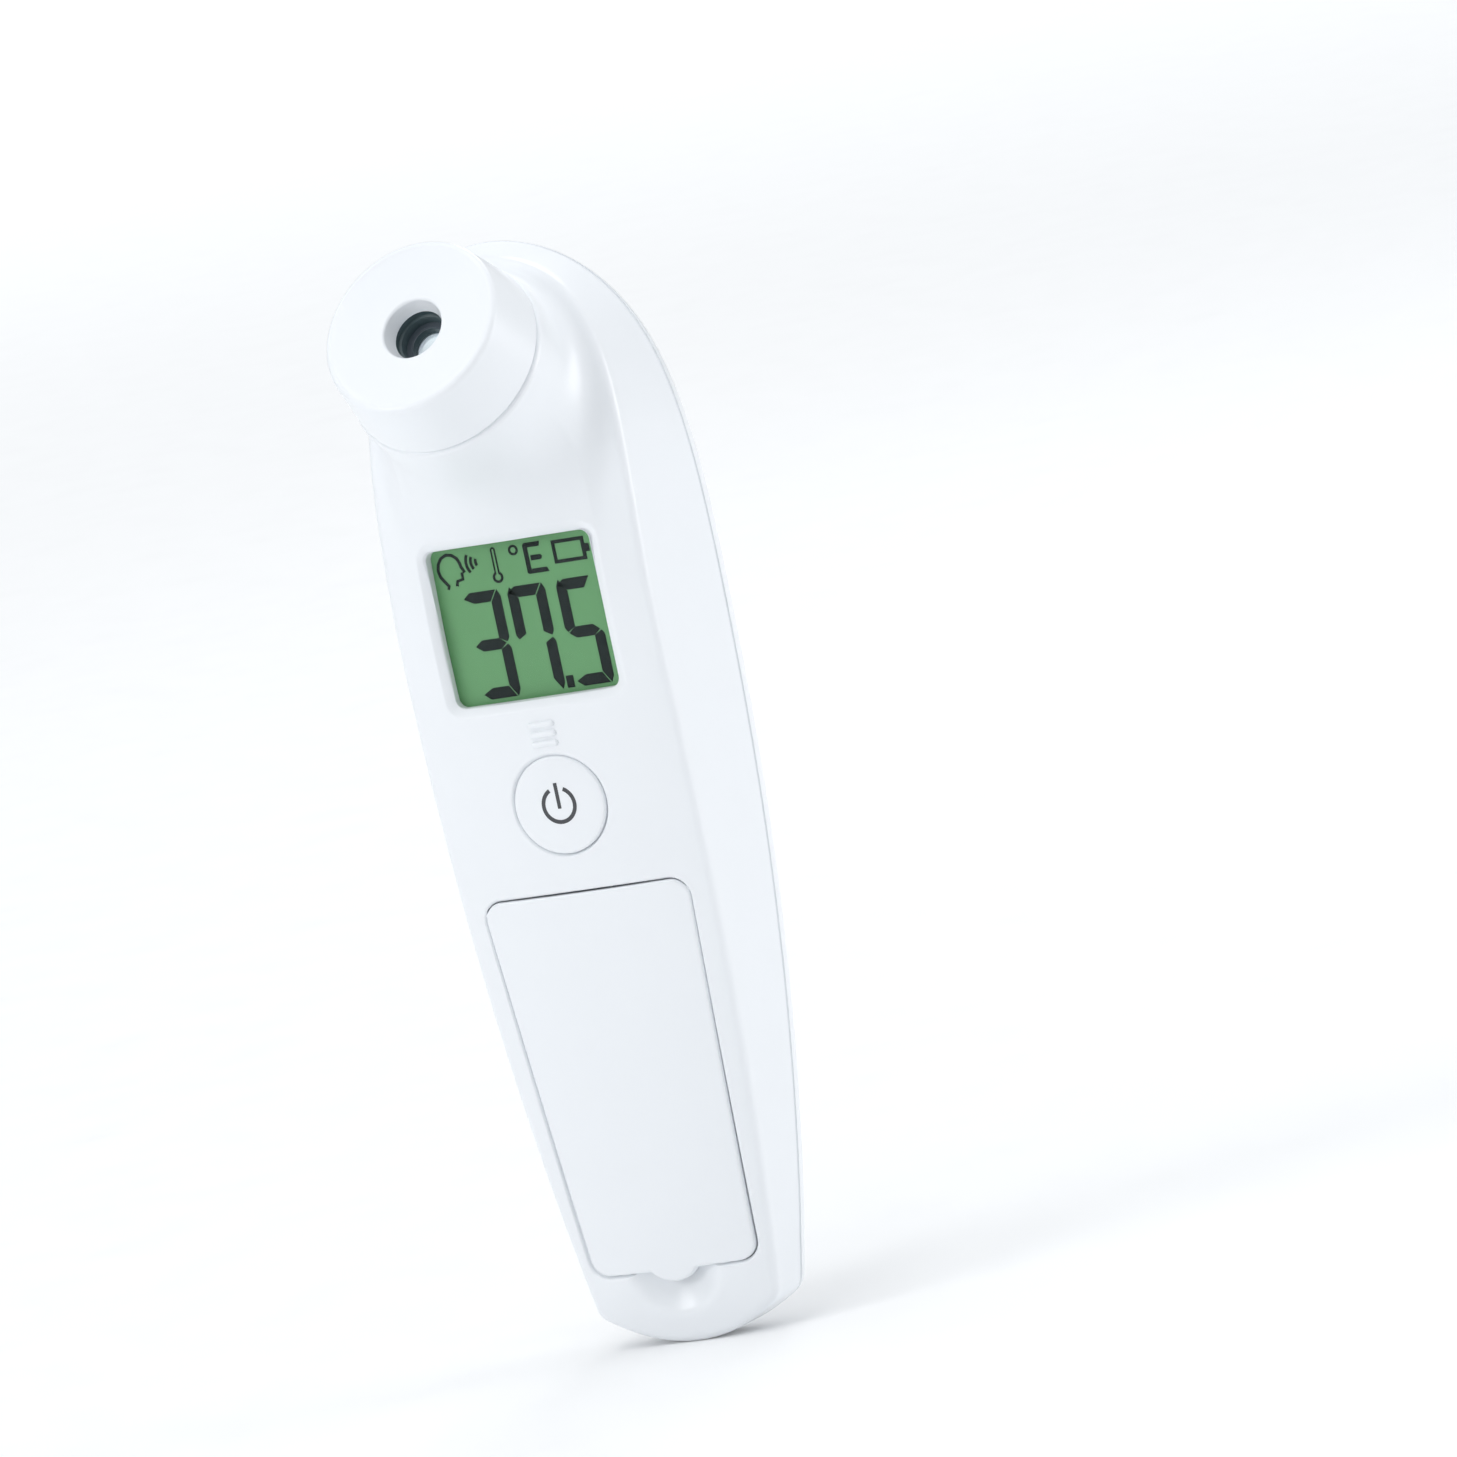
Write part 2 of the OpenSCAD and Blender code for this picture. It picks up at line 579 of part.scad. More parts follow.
module mode_switch_body() {
  color("black") body_frame() translate([0, board_y, mode_z]) rotate([90, 0, 0]) difference() {
    tact_body();
    translate([0, 0, 1]) cylinder(h = 4, r = 1.75);
  }
}
module mode_switch_plunger() {
  from = board_y - 3.1 + mode_travel + mode_travel_room;
  color("ivory") body_frame() translate([0, 0, mode_z]) rotate([-90, 0, 0])
    translate([0, 0, mode_plunger_tip]) cylinder(h = from - mode_plunger_tip, r = 1.7);
}
start_axis = [0, cos(start_tilt), sin(start_tilt)];
start_stem = 7.6;
stem_end = [0, start_y, start_z] - start_axis * start_stem;
start_plunger_tip = stem_end[1] - 0.25;
module start_button() {
  chamfer = 0.5;
  color("steelblue") start_frame() difference() {
    union() {
      rotate_extrude($fn = 72) polygon([[0, -1.6], [start_r, -1.6], [start_r, -chamfer],
        [start_r - chamfer, 0], [start_r - 1.3, -0.1], [start_r - 1.9, -0.35], [2, -0.3], [1.1, -0.75], [0, -0.75]]);
      translate([0, 0, -3.7]) cylinder(h = 2.2, r = start_r);
      translate([0, 0, -4.9]) cylinder(h = 1.3, r = start_flange_r);
      translate([0, 0, -start_stem + 0.6]) cylinder(h = start_stem - 1.6, r = 1.5);
      translate([0, 0, -start_stem + 1.5]) sphere(r = 1.5);
    }
    translate([0, 0, -6.9]) difference() {
      cylinder(h = 4.8, r = start_r - 1.5);
      translate([0, 0, -1]) cylinder(h = 7, r = 1.5);
    }
  }
}
module start_switch_body() {
  color("black") body_frame() translate([0, rear_y, stem_end[2]]) rotate([-90, 0, 0]) difference() {
    tact_body();
    translate([0, 0, 1]) cylinder(h = 4, r = 1.75);
  }
}
module start_switch_plunger() {
  from = rear_y + 1.1 + start_travel;
  color("ivory") body_frame() translate([0, from, stem_end[2]]) rotate([-90, 0, 0])
    cylinder(h = start_plunger_tip - from, r = 1.7);
}
spring_r = 5.6;
spring_wire = 0.28;
spring_turns = 4;
spring_steps = 18;
// Each turn leans from the board's plane at its foot to the button's plane at its head
module start_spring() {
  foot = [0, rear_y + spring_wire + 0.02, stem_end[2] - 0.7];
  head = [0, start_y, start_z] - start_axis * (2.12 + spring_wire);
  path = [for (i = [0:spring_turns * spring_steps])
    let(t = i / (spring_turns * spring_steps), a = 360 * i / spring_steps, lean = start_tilt * t)
    foot + (head - foot) * t + spring_r * [cos(a), -sin(a) * sin(lean), sin(a) * cos(lean)]];
  color("silver") body_frame() swept_tube(path, spring_wire, 6);
}

// Battery chassis: the bay that is open towards the door, and its post for the board
bay_half_w = 10.8;
bay_wall = 0.7;
bay_len = 46.6;
bay_front = -5.6;
bay_back = 5.45;
bay_lip = 2.1;
floor_t = 1;
cell_x = 5.4;
module battery_chassis() {
  color("gainsboro") difference() {
    union() {
      bay_frame() translate([-bay_half_w - bay_wall, bay_front + bay_lip, -1.1])
        cube([2 * (bay_half_w + bay_wall), bay_back - bay_front - bay_lip + floor_t, bay_len + 2.2]);
      bay_frame() translate([-2.5, bay_back, 22]) cube([5, 3.2, 5]);
    }
    bay_frame() {
      translate([-bay_half_w, bay_front - 2, 0]) cube([2 * bay_half_w, bay_back - bay_front + 2, bay_len]);
      // The foot of the bay is open behind, where the cells come close to the rear cover
      translate([-bay_half_w - 2, 2.2, -3]) cube([2 * bay_half_w + 4, 8, 15]);
      translate([0, bay_back - 1, 24.5]) rotate([-90, 0, 0]) cylinder(h = 6, r = screw_r);
    }
  }
}
module chassis_screws() {
  color("silver") bay_frame() translate([0, bay_back, 24.5]) rotate([-90, 0, 0]) {
    translate([0, 0, -0.4]) cylinder(h = 3, r = screw_r - 0.02);
    translate([0, 0, -1.4]) cylinder(h = 1.1, r = 1.5);
  }
}
module cell(nub_up) {
  nub_h = 1.1;
  translate([0, 0, nub_up ? 0 : cell_len]) mirror([0, 0, nub_up ? 0 : 1]) rotate_extrude()
    polygon([[0, 0], [cell_r - 0.5, 0], [cell_r, 0.4], [cell_r, cell_len - nub_h - 0.4],
      [cell_r - 0.4, cell_len - nub_h], [1.9, cell_len - nub_h], [1.9, cell_len - 0.2], [1.7, cell_len], [0, cell_len]]);
}
left_cell_z = bay_len - cell_len - 0.45;
right_cell_z = 0.45;
module battery_left() {
  color("royalblue") bay_frame() translate([-cell_x, 0, left_cell_z]) cell(true);
}
module battery_right() {
  color("royalblue") bay_frame() translate([cell_x, 0, right_cell_z]) cell(false);
}
contact_t = 0.35;
coil_wire = 0.22;
module coil(height) {
  turns = 2.5;
  steps = 16;
  path = [for (i = [0:turns * steps]) let(t = i / (turns * steps), r = 3.6 - 1.5 * t)
    [r * cos(360 * i / steps), r * sin(360 * i / steps), coil_wire + (height - 2 * coil_wire) * t]];
  swept_tube(path, coil_wire, 6);
}
module contact_positive() {
  color("silver") bay_frame() translate([-cell_x - 3.6, -3.6, bay_len - contact_t]) cube([7.2, 7.2, contact_t]);
}
module contact_negative() {
  color("silver") bay_frame() {
    translate([cell_x - 3.9, -3.9, bay_len - contact_t]) cube([7.8, 7.8, contact_t]);
    translate([cell_x, 0, bay_len - contact_t + 0.05]) mirror([0, 0, 1])
      coil(bay_len - contact_t - right_cell_z - cell_len);
  }
}
module contact_bridge() {
  color("silver") bay_frame() {
    translate([-cell_x - 3.9, -3.9, 0]) cube([2 * cell_x + 7.8, 7.8, contact_t]);
    translate([-cell_x, 0, contact_t - 0.05]) coil(left_cell_z - contact_t);
  }
}
// Two leads from the contacts round the foot of the board to its back
lead_path = [[11.8, 60.4], [13.3, 60.5], [14.7, 61.3], [15.3, 62.8], [14.9, 64.3], [14.2, 65.4], [13.95, 66.4]];
module power_leads() {
  lead_r = 0.45;
  color("firebrick") body_frame() for (side = [-1, 1])
    swept_tube([for (p = lead_path) [side * 6, p[0], p[1]]], lead_r, 8);
}

// Battery door: a slab of the display face with its tab, hinge pins and inner snap
module battery_door() {
  slab = concat(
    [for (share = [0.1, 0.35, 0.6, 0.82]) face_ring(share, face_edge_r, 0)],
    [face_ring(1, 0.2, 0), face_ring(1, 0.2, door_t)],
    [for (share = [0.82, 0.6, 0.35, 0.1]) face_ring(share, face_edge_r, door_t)]);
  pin_from = 12.2;
  color("white") body_frame() difference() {
    union() {
      intersection() {
        ringed_solid(slab);
        face_prism(-3, 12) union() {
          polygon(door_outline(0));
          translate([0, tab_z]) circle(r = tab_r);
        }
      }
      for (side = [-1, 1]) translate([side * pin_from, door_hinge_y, door_hinge_z]) rotate([0, side * 90, 0])
        cylinder(h = hinge_pin_x - pin_from, r = hinge_pin_r);
      for (side = [-1, 1]) translate([side * pin_from, door_hinge_y - 0.3, door_hinge_z])
        cube([1.2, 1, 1.6], center = true);
    }
    translate([0, door_hinge_y, door_hinge_z]) rotate([0, 90, 0]) difference() {
      translate([-2.5, -4, -20]) cube([2.5, 8, 40]);
      cylinder(h = 50, r = door_swing_r, center = true);
    }
  }
}

front_housing();
rear_cover();
probe_cap();
lens_ring();
infrared_lens();
sensor_barrel();
sensor_holder();
barrel_gasket();
thermopile_can();
thermopile_window();
thermopile_base();
sensor_board();
sensor_cable();
display_window();
window_gasket();
lcd_panel();
display_segments();
backlight_guide();
backlight_leds();
lcd_holder();
zebra_strips();
main_board();
microcontroller();
chip_components();
crystal();
buzzer();
mode_button();
mode_switch_body();
mode_switch_plunger();
start_button();
start_spring();
start_switch_body();
start_switch_plunger();
battery_chassis();
battery_left();
battery_right();
contact_positive();
contact_negative();
contact_bridge();
power_leads();
battery_door();
board_screws();
chassis_screws();
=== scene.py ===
"""Looks of the forehead thermometer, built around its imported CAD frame.

Shapes are worked out in millimetres, from the foot of the body (z), the middle plane (x) and the
depth of the display face (y), as the CAD part does, and are put in the row frame in metres.
"""
import json
import math

import bmesh
import bpy
import numpy as np
from mathutils import Matrix, Vector


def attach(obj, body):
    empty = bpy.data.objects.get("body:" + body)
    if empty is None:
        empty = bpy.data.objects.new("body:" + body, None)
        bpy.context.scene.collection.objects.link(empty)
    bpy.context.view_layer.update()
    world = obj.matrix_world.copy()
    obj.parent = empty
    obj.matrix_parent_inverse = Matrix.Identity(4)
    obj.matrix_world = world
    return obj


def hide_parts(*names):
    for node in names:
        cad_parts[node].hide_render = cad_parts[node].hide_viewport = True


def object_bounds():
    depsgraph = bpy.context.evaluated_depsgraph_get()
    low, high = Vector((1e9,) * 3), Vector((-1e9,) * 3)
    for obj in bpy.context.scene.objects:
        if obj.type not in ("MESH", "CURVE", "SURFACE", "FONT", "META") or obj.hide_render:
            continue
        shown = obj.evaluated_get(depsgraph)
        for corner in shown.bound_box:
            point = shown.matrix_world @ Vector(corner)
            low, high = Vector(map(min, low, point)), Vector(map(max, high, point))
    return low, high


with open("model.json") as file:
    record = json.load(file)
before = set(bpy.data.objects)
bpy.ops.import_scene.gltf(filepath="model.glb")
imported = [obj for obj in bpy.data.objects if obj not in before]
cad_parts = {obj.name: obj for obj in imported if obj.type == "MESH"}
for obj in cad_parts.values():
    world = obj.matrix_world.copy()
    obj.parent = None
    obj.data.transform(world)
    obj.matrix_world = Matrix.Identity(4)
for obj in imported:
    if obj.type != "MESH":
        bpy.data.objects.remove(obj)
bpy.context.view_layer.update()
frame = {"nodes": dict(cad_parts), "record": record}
nodes = frame["nodes"]

MM = 0.001
SKIN_STEP, INNER_STEP, DOOR_STEP = 0.4, 0.8, 0.22      # cells of the surface nets
GRIP_Y, GRIP_Z = 13.0, 45.0  # the frame's origin, in the millimetre system

# ---------------------------------------------------------------- body shape
BODY_H, WIDEST_Z, WALL, CROWN, EDGE_R = 136.8, 84.0, 1.6, 1.1, 1.8
FACE = (17.65, BODY_H - 1.4, 5.9, 5.8)   # half width, top, narrowing towards the foot, roundness of the arch
SEAM = (18.75, BODY_H, 6.3, 5.0)
RIDGE_R = 0.9                            # of the display face's outer edge
FOOT_CORNER_Z, SPINE_LOW, SPINE_HIGH = 4.4, 14.0, 119.5
SEAM_GAP = 0.12
NOSE_TILT, NOSE_Y, NOSE_Z, NECK_R = math.radians(37.4), -3.4, 125.3, 12.95
START_TILT, START_Y, START_Z, START_R = math.radians(16.7), 25.0, 119.5, 9.45
DISPLAY_W, DISPLAY_H, DISPLAY_Z, WINDOW_Y, LCD_Y = 22.4, 19.5, 91.9, 2.1, 3.5
MODE_Z, MODE_R = 68.9, 6.1
WELL_GAP = 0.16
DOOR_GAP, DOOR_TOP_GAP, MODE_GAP = 0.2, 0.21, 0.14     # grooves as they show from outside
DOOR_TOP_W, DOOR_FOOT_W, DOOR_TOP_Z, DOOR_FOOT_Z, DOOR_T, DOOR_CORNER_R = 28.0, 22.6, 57.8, 9.6, 1.4, 2.4
TAB_R, TAB_Z, SCOOP_Z, SCOOP_R, SCOOP_DEPTH = 3.9, 12.0, 9.0, 10.3, 2.15
CAP_LEN = 8.9
WELL_R, WELL_DEPTH, CREST = 12.0, 0.4, 0.1      # shallow dish round the start button, with a soft crest
SWELL, SWELL_R = 0.5, 14                 # slight swelling of the cover that the dish lies in
BACK_BEND = 4.2                          # the higher, the flatter the back and the tighter its edges
BLEND = 11.0                             # width of the hollow blend under the neck
HINGE_Z = DOOR_TOP_Z - 1.4


def ease(start, end, z, bend):
    return np.maximum(0.0, (z - start) / (end - start)) ** bend


def face_edge_y(z):
    return 1.8 + 4.7 * ease(90, 0, z, 1.35) + 6.7 * ease(90, 136, z, 1.7)


def seam_y(z):
    return 19.6 - 8.6 * ease(94, 0, z, 1.6) - 6.6 * ease(94, 136, z, 2.3)


def back_rise(z):
    return 7.7 - 2.1 * ease(80, 0, z, 2.4) - 4.2 * ease(100, 136, z, 1.5)


def round_max(a, b, r):
    """Intersection of two signed distances with a rounded edge of radius r."""
    return np.minimum(-r, np.maximum(a, b)) + np.hypot(np.maximum(r + a, 0), np.maximum(r + b, 0))


def smooth_min(a, b, k):
    """Union of two signed distances with a soft hollow blend about k wide."""
    h = np.maximum(k - np.abs(a - b), 0) / k
    return np.minimum(a, b) - h ** 3 * k / 6


def outline_distance(x, z, half_w, top, narrowing, roundness, inset=0.0, corner=0.8):
    """First-order signed distance to the body's outline, seen from the front."""
    fall = np.maximum(0.0, 1 - z / WIDEST_Z)
    width = half_w - inset - narrowing * fall ** 2.3
    slope = narrowing * 2.3 / WIDEST_Z * fall ** 1.3
    arch = top - inset - WIDEST_Z
    rise = np.maximum(0, z - WIDEST_Z) / arch
    gauge = (x / width) ** 2 + rise ** roundness - 1
    steep_z = roundness * rise ** (roundness - 1) / arch - 2 * x ** 2 / width ** 3 * slope
    steep = np.hypot(2 * x / width ** 2, steep_z)
    side = gauge / np.maximum(steep, 0.03)
    corner_z = FOOT_CORNER_Z + inset * 0.8
    corner_w = half_w - inset - narrowing * (1 - corner_z / WIDEST_Z) ** 2.3
    bend = (corner_z - inset) / corner_w ** 2
    foot = (inset + bend * x ** 2 - z) / np.sqrt(1 + (2 * bend * x) ** 2)
    return round_max(side, foot, corner)


def share_out(x, z, outline, inset):
    """0 on the body's spine, 1 on the outline, in proportion between."""
    spine = np.clip(z, SPINE_LOW, SPINE_HIGH)
    low, high = np.full(np.broadcast(x, z).shape, 0.004), np.full(np.broadcast(x, z).shape, 1.7)
    for _ in range(22):
        mid = (low + high) / 2
        outside = outline_distance(x / mid, spine + (z - spine) / mid, *outline, inset) > 0
        low, high = np.where(outside, mid, low), np.where(outside, high, mid)
    return (low + high) / 2


def front_y(x, z):
    """Depth of the display face."""
    share = np.minimum(share_out(x, z, FACE, EDGE_R), 1.12)
    return face_edge_y(z) - CROWN * (1 - share ** 2.2)


def nose_coordinates(x, y, z):
    """Radius from the nose axis and distance out along it from the cap's seam."""
    c, s = math.cos(NOSE_TILT), math.sin(NOSE_TILT)
    return np.hypot(x, (y - NOSE_Y) * s + (z - NOSE_Z) * c), (z - NOSE_Z) * s - (y - NOSE_Y) * c


def skin_field(x, y, z, face, inside):
    """The display face with the neck growing out of it; the hollow blend narrows near the body's outline."""
    r, along = nose_coordinates(x, y, z)
    neck = np.maximum(r - NECK_R, along - 1)
    return smooth_min((face - y) * 0.98, neck, BLEND * np.clip(0.3 + inside / 9, 0.1, 1)), neck


def skin_y(x, z):
    """Depth of the display face with the neck's blend."""
    face = front_y(x, z)
    inside = -outline_distance(x, z, *FACE)
    y = face - 6
    for _ in range(30):
        y = y + skin_field(x, y, z, face, inside)[0]
    return y


def housing_field(x, y, z):
    edge = face_edge_y(z) + EDGE_R
    depth = np.clip((y - edge) / (seam_y(z) - edge), 0, 1.25)
    outline = [a + (b - a) * depth for a, b in zip(FACE, SEAM)]
    lateral = outline_distance(x, z, *outline)
    skin, neck = skin_field(x, y, z, front_y(x, z), -lateral)
    body = round_max(lateral, skin, RIDGE_R)
    body = smooth_min(body, neck, 0.4)
    scoop = np.sqrt(x ** 2 + (y - front_y(0.0, SCOOP_Z) + SCOOP_R - SCOOP_DEPTH) ** 2 + (z - SCOOP_Z) ** 2)
    return np.maximum(round_max(body, SCOOP_R - scoop, 0.5), y - 22)


def cover_field(x, y, z):
    share = share_out(x, z, SEAM, 0)
    rise = back_rise(z)
    lift = np.maximum(0, y - seam_y(z)) / rise
    reach = np.hypot(x, z - np.clip(z, SPINE_LOW, SPINE_HIGH)) / np.maximum(share, 0.01)
    steep = np.hypot(BACK_BEND * share ** (BACK_BEND - 1) / np.maximum(reach, 4), 2 * lift / rise)
    dome = (share ** BACK_BEND + lift ** 2 - 1) / np.maximum(steep, 0.03)
    r = np.hypot(x, (z - START_Z) * math.cos(START_TILT) - (y - START_Y) * math.sin(START_TILT))
    slope = np.clip((WELL_R - r) / (WELL_R - START_R), 0, 1)
    dome = dome + WELL_DEPTH * slope ** 1.4 - SWELL * np.exp(-(r / SWELL_R) ** 6)
    dome = dome - CREST * np.exp(-((r - WELL_R - 0.2) / 0.5) ** 2)
    return np.maximum(dome, seam_y(z) - 2 - y)


def hollow(field):
    """The same shape, one wall thickness further in."""
    return lambda x, y, z: field(x, y, z) + WALL


# ---------------------------------------------------------------- meshes
def to_frame(points):
    return (np.asarray(points, float) - [0, GRIP_Y, GRIP_Z]) * MM


def mesh_object(name, points, faces, matrix=None):
    """A mesh from points in millimetres; matrix places points that were given in a local system."""
    points = np.asarray(points, float)
    if matrix is not None:
        points = points @ matrix[:3, :3].T + matrix[:3, 3]
    mesh = bpy.data.meshes.new(name)
    mesh.from_pydata(to_frame(points).tolist(), [], [list(f) for f in faces])
    mesh.update()
    made = bpy.data.objects.new(name, mesh)
    bpy.context.scene.collection.objects.link(made)
    return made


def turn_out(made):
    """Makes every face of a closed mesh look outwards."""
    work = bmesh.new()
    work.from_mesh(made.data)
    bmesh.ops.recalc_face_normals(work, faces=work.faces)
    if work.calc_volume(signed=True) < 0:
        bmesh.ops.reverse_faces(work, faces=work.faces)
    work.to_mesh(made.data)
    work.free()
    return made


def implicit(name, field, low, high, step, settle=3):
    """The surface where field is zero, by a surface net whose points then settle on the exact surface."""
    axes = [np.arange(a, b + step, step) for a, b in zip(low, high)]
    grid = field(axes[0][:, None, None], axes[1][None, :, None], axes[2][None, None, :])
    nx, ny, nz = grid.shape
    inside = grid < 0
    corners = [(a, b, c) for a in (0, 1) for b in (0, 1) for c in (0, 1)]

    def shifted(array, o):
        return array[o[0]:nx - 1 + o[0], o[1]:ny - 1 + o[1], o[2]:nz - 1 + o[2]]
    count = sum(shifted(inside, o).astype(np.int8) for o in corners)
    cells = np.argwhere((count > 0) & (count < 8))
    number = np.full((nx - 1, ny - 1, nz - 1), -1, np.int64)
    number[tuple(cells.T)] = np.arange(len(cells))
    total, hits = np.zeros((len(cells), 3)), np.zeros(len(cells))
    for a in corners:
        for axis in range(3):
            if a[axis]:
                continue
            b = tuple(v + (i == axis) for i, v in enumerate(a))
            va = grid[tuple((cells + a).T)]
            vb = grid[tuple((cells + b).T)]
            crossed = (va < 0) != (vb < 0)
            t = np.where(crossed, va / np.where(crossed, va - vb, 1), 0)
            spot = np.array(a, float) + t[:, None] * (np.array(b) - np.array(a))
            total += spot * crossed[:, None]
            hits += crossed
    points = np.array(low) + (cells + total / hits[:, None]) * step
    faces = []
    for axis in range(3):
        u, v = [i for i in range(3) if i != axis]
        here = [slice(1, -1)] * 3
        here[axis] = slice(0, -1)
        there = list(here)
        there[axis] = slice(1, None)
        flips = inside[tuple(here)] != inside[tuple(there)]
        where = np.argwhere(flips) + [1 if i != axis else 0 for i in range(3)]
        quads = []
        for du, dv in ((-1, -1), (0, -1), (0, 0), (-1, 0)):
            cell = where.copy()
            cell[:, u] += du
            cell[:, v] += dv
            quads.append(number[tuple(cell.T)])
        quads = np.stack(quads, 1)
        starts_in = inside[tuple(where.T)]
        flip = starts_in if axis != 1 else ~starts_in
        quads[~flip] = quads[~flip][:, ::-1]
        faces.append(quads)
    faces = np.concatenate(faces)
    nudge = step * 0.05
    for _ in range(settle):
        x, y, z = points.T
        value = field(x, y, z)
        slope = np.stack([field(x + nudge, y, z) - value, field(x, y + nudge, z) - value,
                          field(x, y, z + nudge) - value], 1) / nudge
        length2 = np.maximum((slope ** 2).sum(1), 0.05)
        move = -(value / length2)[:, None] * slope
        far = np.linalg.norm(move, axis=1)
        points = points + move * np.minimum(1, 0.4 * step / np.maximum(far, 1e-9))[:, None]
    return mesh_object(name, points, faces)


def revolve(name, profile, matrix, sides=160):
    """A closed profile of (radius, height) points turned round the local z axis."""
    turn = np.arange(sides) * 2 * math.pi / sides
    points, rows = [], []
    for r, h in profile:
        if r < 1e-6:
            rows.append([len(points)] * sides)
            points.append((0, 0, h))
        else:
            rows.append(list(range(len(points), len(points) + sides)))
            points += [(r * math.cos(a), r * math.sin(a), h) for a in turn]
    faces = []
    for i, row in enumerate(rows):
        other = rows[(i + 1) % len(rows)]
        for k in range(sides):
            m = (k + 1) % sides
            ring = [row[k], row[m], other[m], other[k]]
            ring = [p for j, p in enumerate(ring) if p not in ring[:j]]
            if len(ring) > 2:
                faces.append(ring)
    return turn_out(mesh_object(name, points, faces, matrix))


def prism(name, outline_at, levels):
    """A closed solid through rings: outline_at(grow) gives (x, z) points, levels (grow, y or None, depth)."""
    points = []
    for grow, y, depth in levels:
        ring = np.array(outline_at(grow))
        depths = np.full(len(ring), y) if y is not None else skin_y(ring[:, 0], ring[:, 1]) + depth
        points.append(np.stack([ring[:, 0], depths, ring[:, 1]], 1))
    n = len(points[0])
    faces = [[r * n + i, r * n + (i + 1) % n, (r + 1) * n + (i + 1) % n, (r + 1) * n + i]
             for r in range(len(levels) - 1) for i in range(n)]
    faces += [list(range(n)), [(len(levels) - 1) * n + i for i in range(n - 1, -1, -1)]]
    return turn_out(mesh_object(name, np.concatenate(points), faces))


def placed(x_axis, y_axis, z_axis, origin):
    matrix = np.eye(4)
    matrix[:3, 0], matrix[:3, 1], matrix[:3, 2], matrix[:3, 3] = x_axis, y_axis, z_axis, origin
    return matrix


C, S = math.cos(NOSE_TILT), math.sin(NOSE_TILT)
NOSE = placed((1, 0, 0), (0, S, C), (0, -C, S), (0, NOSE_Y, NOSE_Z))
SC, SS = math.cos(START_TILT), math.sin(START_TILT)
START = placed((-1, 0, 0), (0, -SS, SC), (0, SC, SS), (0, START_Y, START_Z))


def combine(base, tool, how="DIFFERENCE", keep_tool=False):
    """Cuts base with tool, or joins them, for good."""
    change = base.modifiers.new("cut", "BOOLEAN")
    change.operation, change.object, change.solver = how, tool, "MANIFOLD"
    cut = bpy.data.meshes.new_from_object(base.evaluated_get(bpy.context.evaluated_depsgraph_get()))
    base.modifiers.clear()
    base.data = cut
    if not keep_tool:
        bpy.data.objects.remove(tool)
    return base


def arc(centre_r, centre_h, radius, start, end, steps=6):
    """Points of a fillet in a profile, from one angle to another, in degrees."""
    return [(centre_r + radius * math.cos(math.radians(start + (end - start) * i / steps)),
             centre_h + radius * math.sin(math.radians(start + (end - start) * i / steps)))
            for i in range(steps + 1)]


def rounded_outline(corners, r, steps=10):
    """Points round a convex polygon with rounded corners, with extra points along its sides."""
    corners = [np.array(p, float) for p in corners]
    n, out = len(corners), []
    for i, p in enumerate(corners):
        a, b = corners[i - 1] - p, corners[(i + 1) % n] - p
        a, b = a / np.linalg.norm(a), b / np.linalg.norm(b)
        half = math.acos(a @ b) / 2
        centre = p + (a + b) / np.linalg.norm(a + b) * r / math.sin(half)
        start, end = p + a * r / math.tan(half) - centre, p + b * r / math.tan(half) - centre
        for k in range(steps + 1):
            m = start * (steps - k) + end * k
            out.append(centre + m / np.linalg.norm(m) * r)
    dense = []
    for i, p in enumerate(out):
        q = out[(i + 1) % len(out)]
        parts = 1 if np.linalg.norm(q - p) < 3 else 16
        dense += [p + (q - p) * k / parts for k in range(parts)]
    return dense


def rectangle_outline(w, h, x, z, r):
    def at(grow):
        a, b = w / 2 + grow, h / 2 + grow
        return rounded_outline([(x - a, z - b), (x + a, z - b), (x + a, z + b), (x - a, z + b)], r + grow)
    return at


def circle_outline(x, z, r, steps=160):
    return lambda grow: [(x + (r + grow) * math.cos(2 * math.pi * k / steps),
                          z + (r + grow) * math.sin(2 * math.pi * k / steps)) for k in range(steps)]


def door_corners(grow):
    return [(-DOOR_FOOT_W / 2 - grow, DOOR_FOOT_Z - grow), (DOOR_FOOT_W / 2 + grow, DOOR_FOOT_Z - grow),
            (DOOR_TOP_W / 2 + grow, DOOR_TOP_Z + grow), (-DOOR_TOP_W / 2 - grow, DOOR_TOP_Z + grow)]


def door_recess(grow):
    """The door's outline, a little further out at its top edge, where it swings."""
    extra = DOOR_TOP_GAP - DOOR_GAP
    corners = [(x, z + (extra if z > 30 else 0)) for x, z in door_corners(grow + DOOR_GAP)]
    return rounded_outline(corners, DOOR_CORNER_R + grow + DOOR_GAP)


def side_strip(side):
    """Outline of the ledge that the door's long side rests on, clear of the hinge."""
    def half(z):
        return DOOR_FOOT_W / 2 + (DOOR_TOP_W - DOOR_FOOT_W) / 2 * (z - DOOR_FOOT_Z) / (DOOR_TOP_Z - DOOR_FOOT_Z)
    heights = np.linspace(DOOR_FOOT_Z + 0.4, DOOR_TOP_Z - 3.2, 40)
    inner = [(side * (half(z) - 0.9), z) for z in heights]
    outer = [(side * (half(z) + 0.9), z) for z in heights]
    return lambda grow: inner + outer[::-1]


def foot_strip(grow):
    """Outline of the ledge under the door's foot."""
    across = np.linspace(-DOOR_FOOT_W / 2 - 0.6, DOOR_FOOT_W / 2 + 0.6, 30)
    return [(x, DOOR_FOOT_Z - 0.35) for x in across] + [(x, DOOR_FOOT_Z + 1.6) for x in across[::-1]]


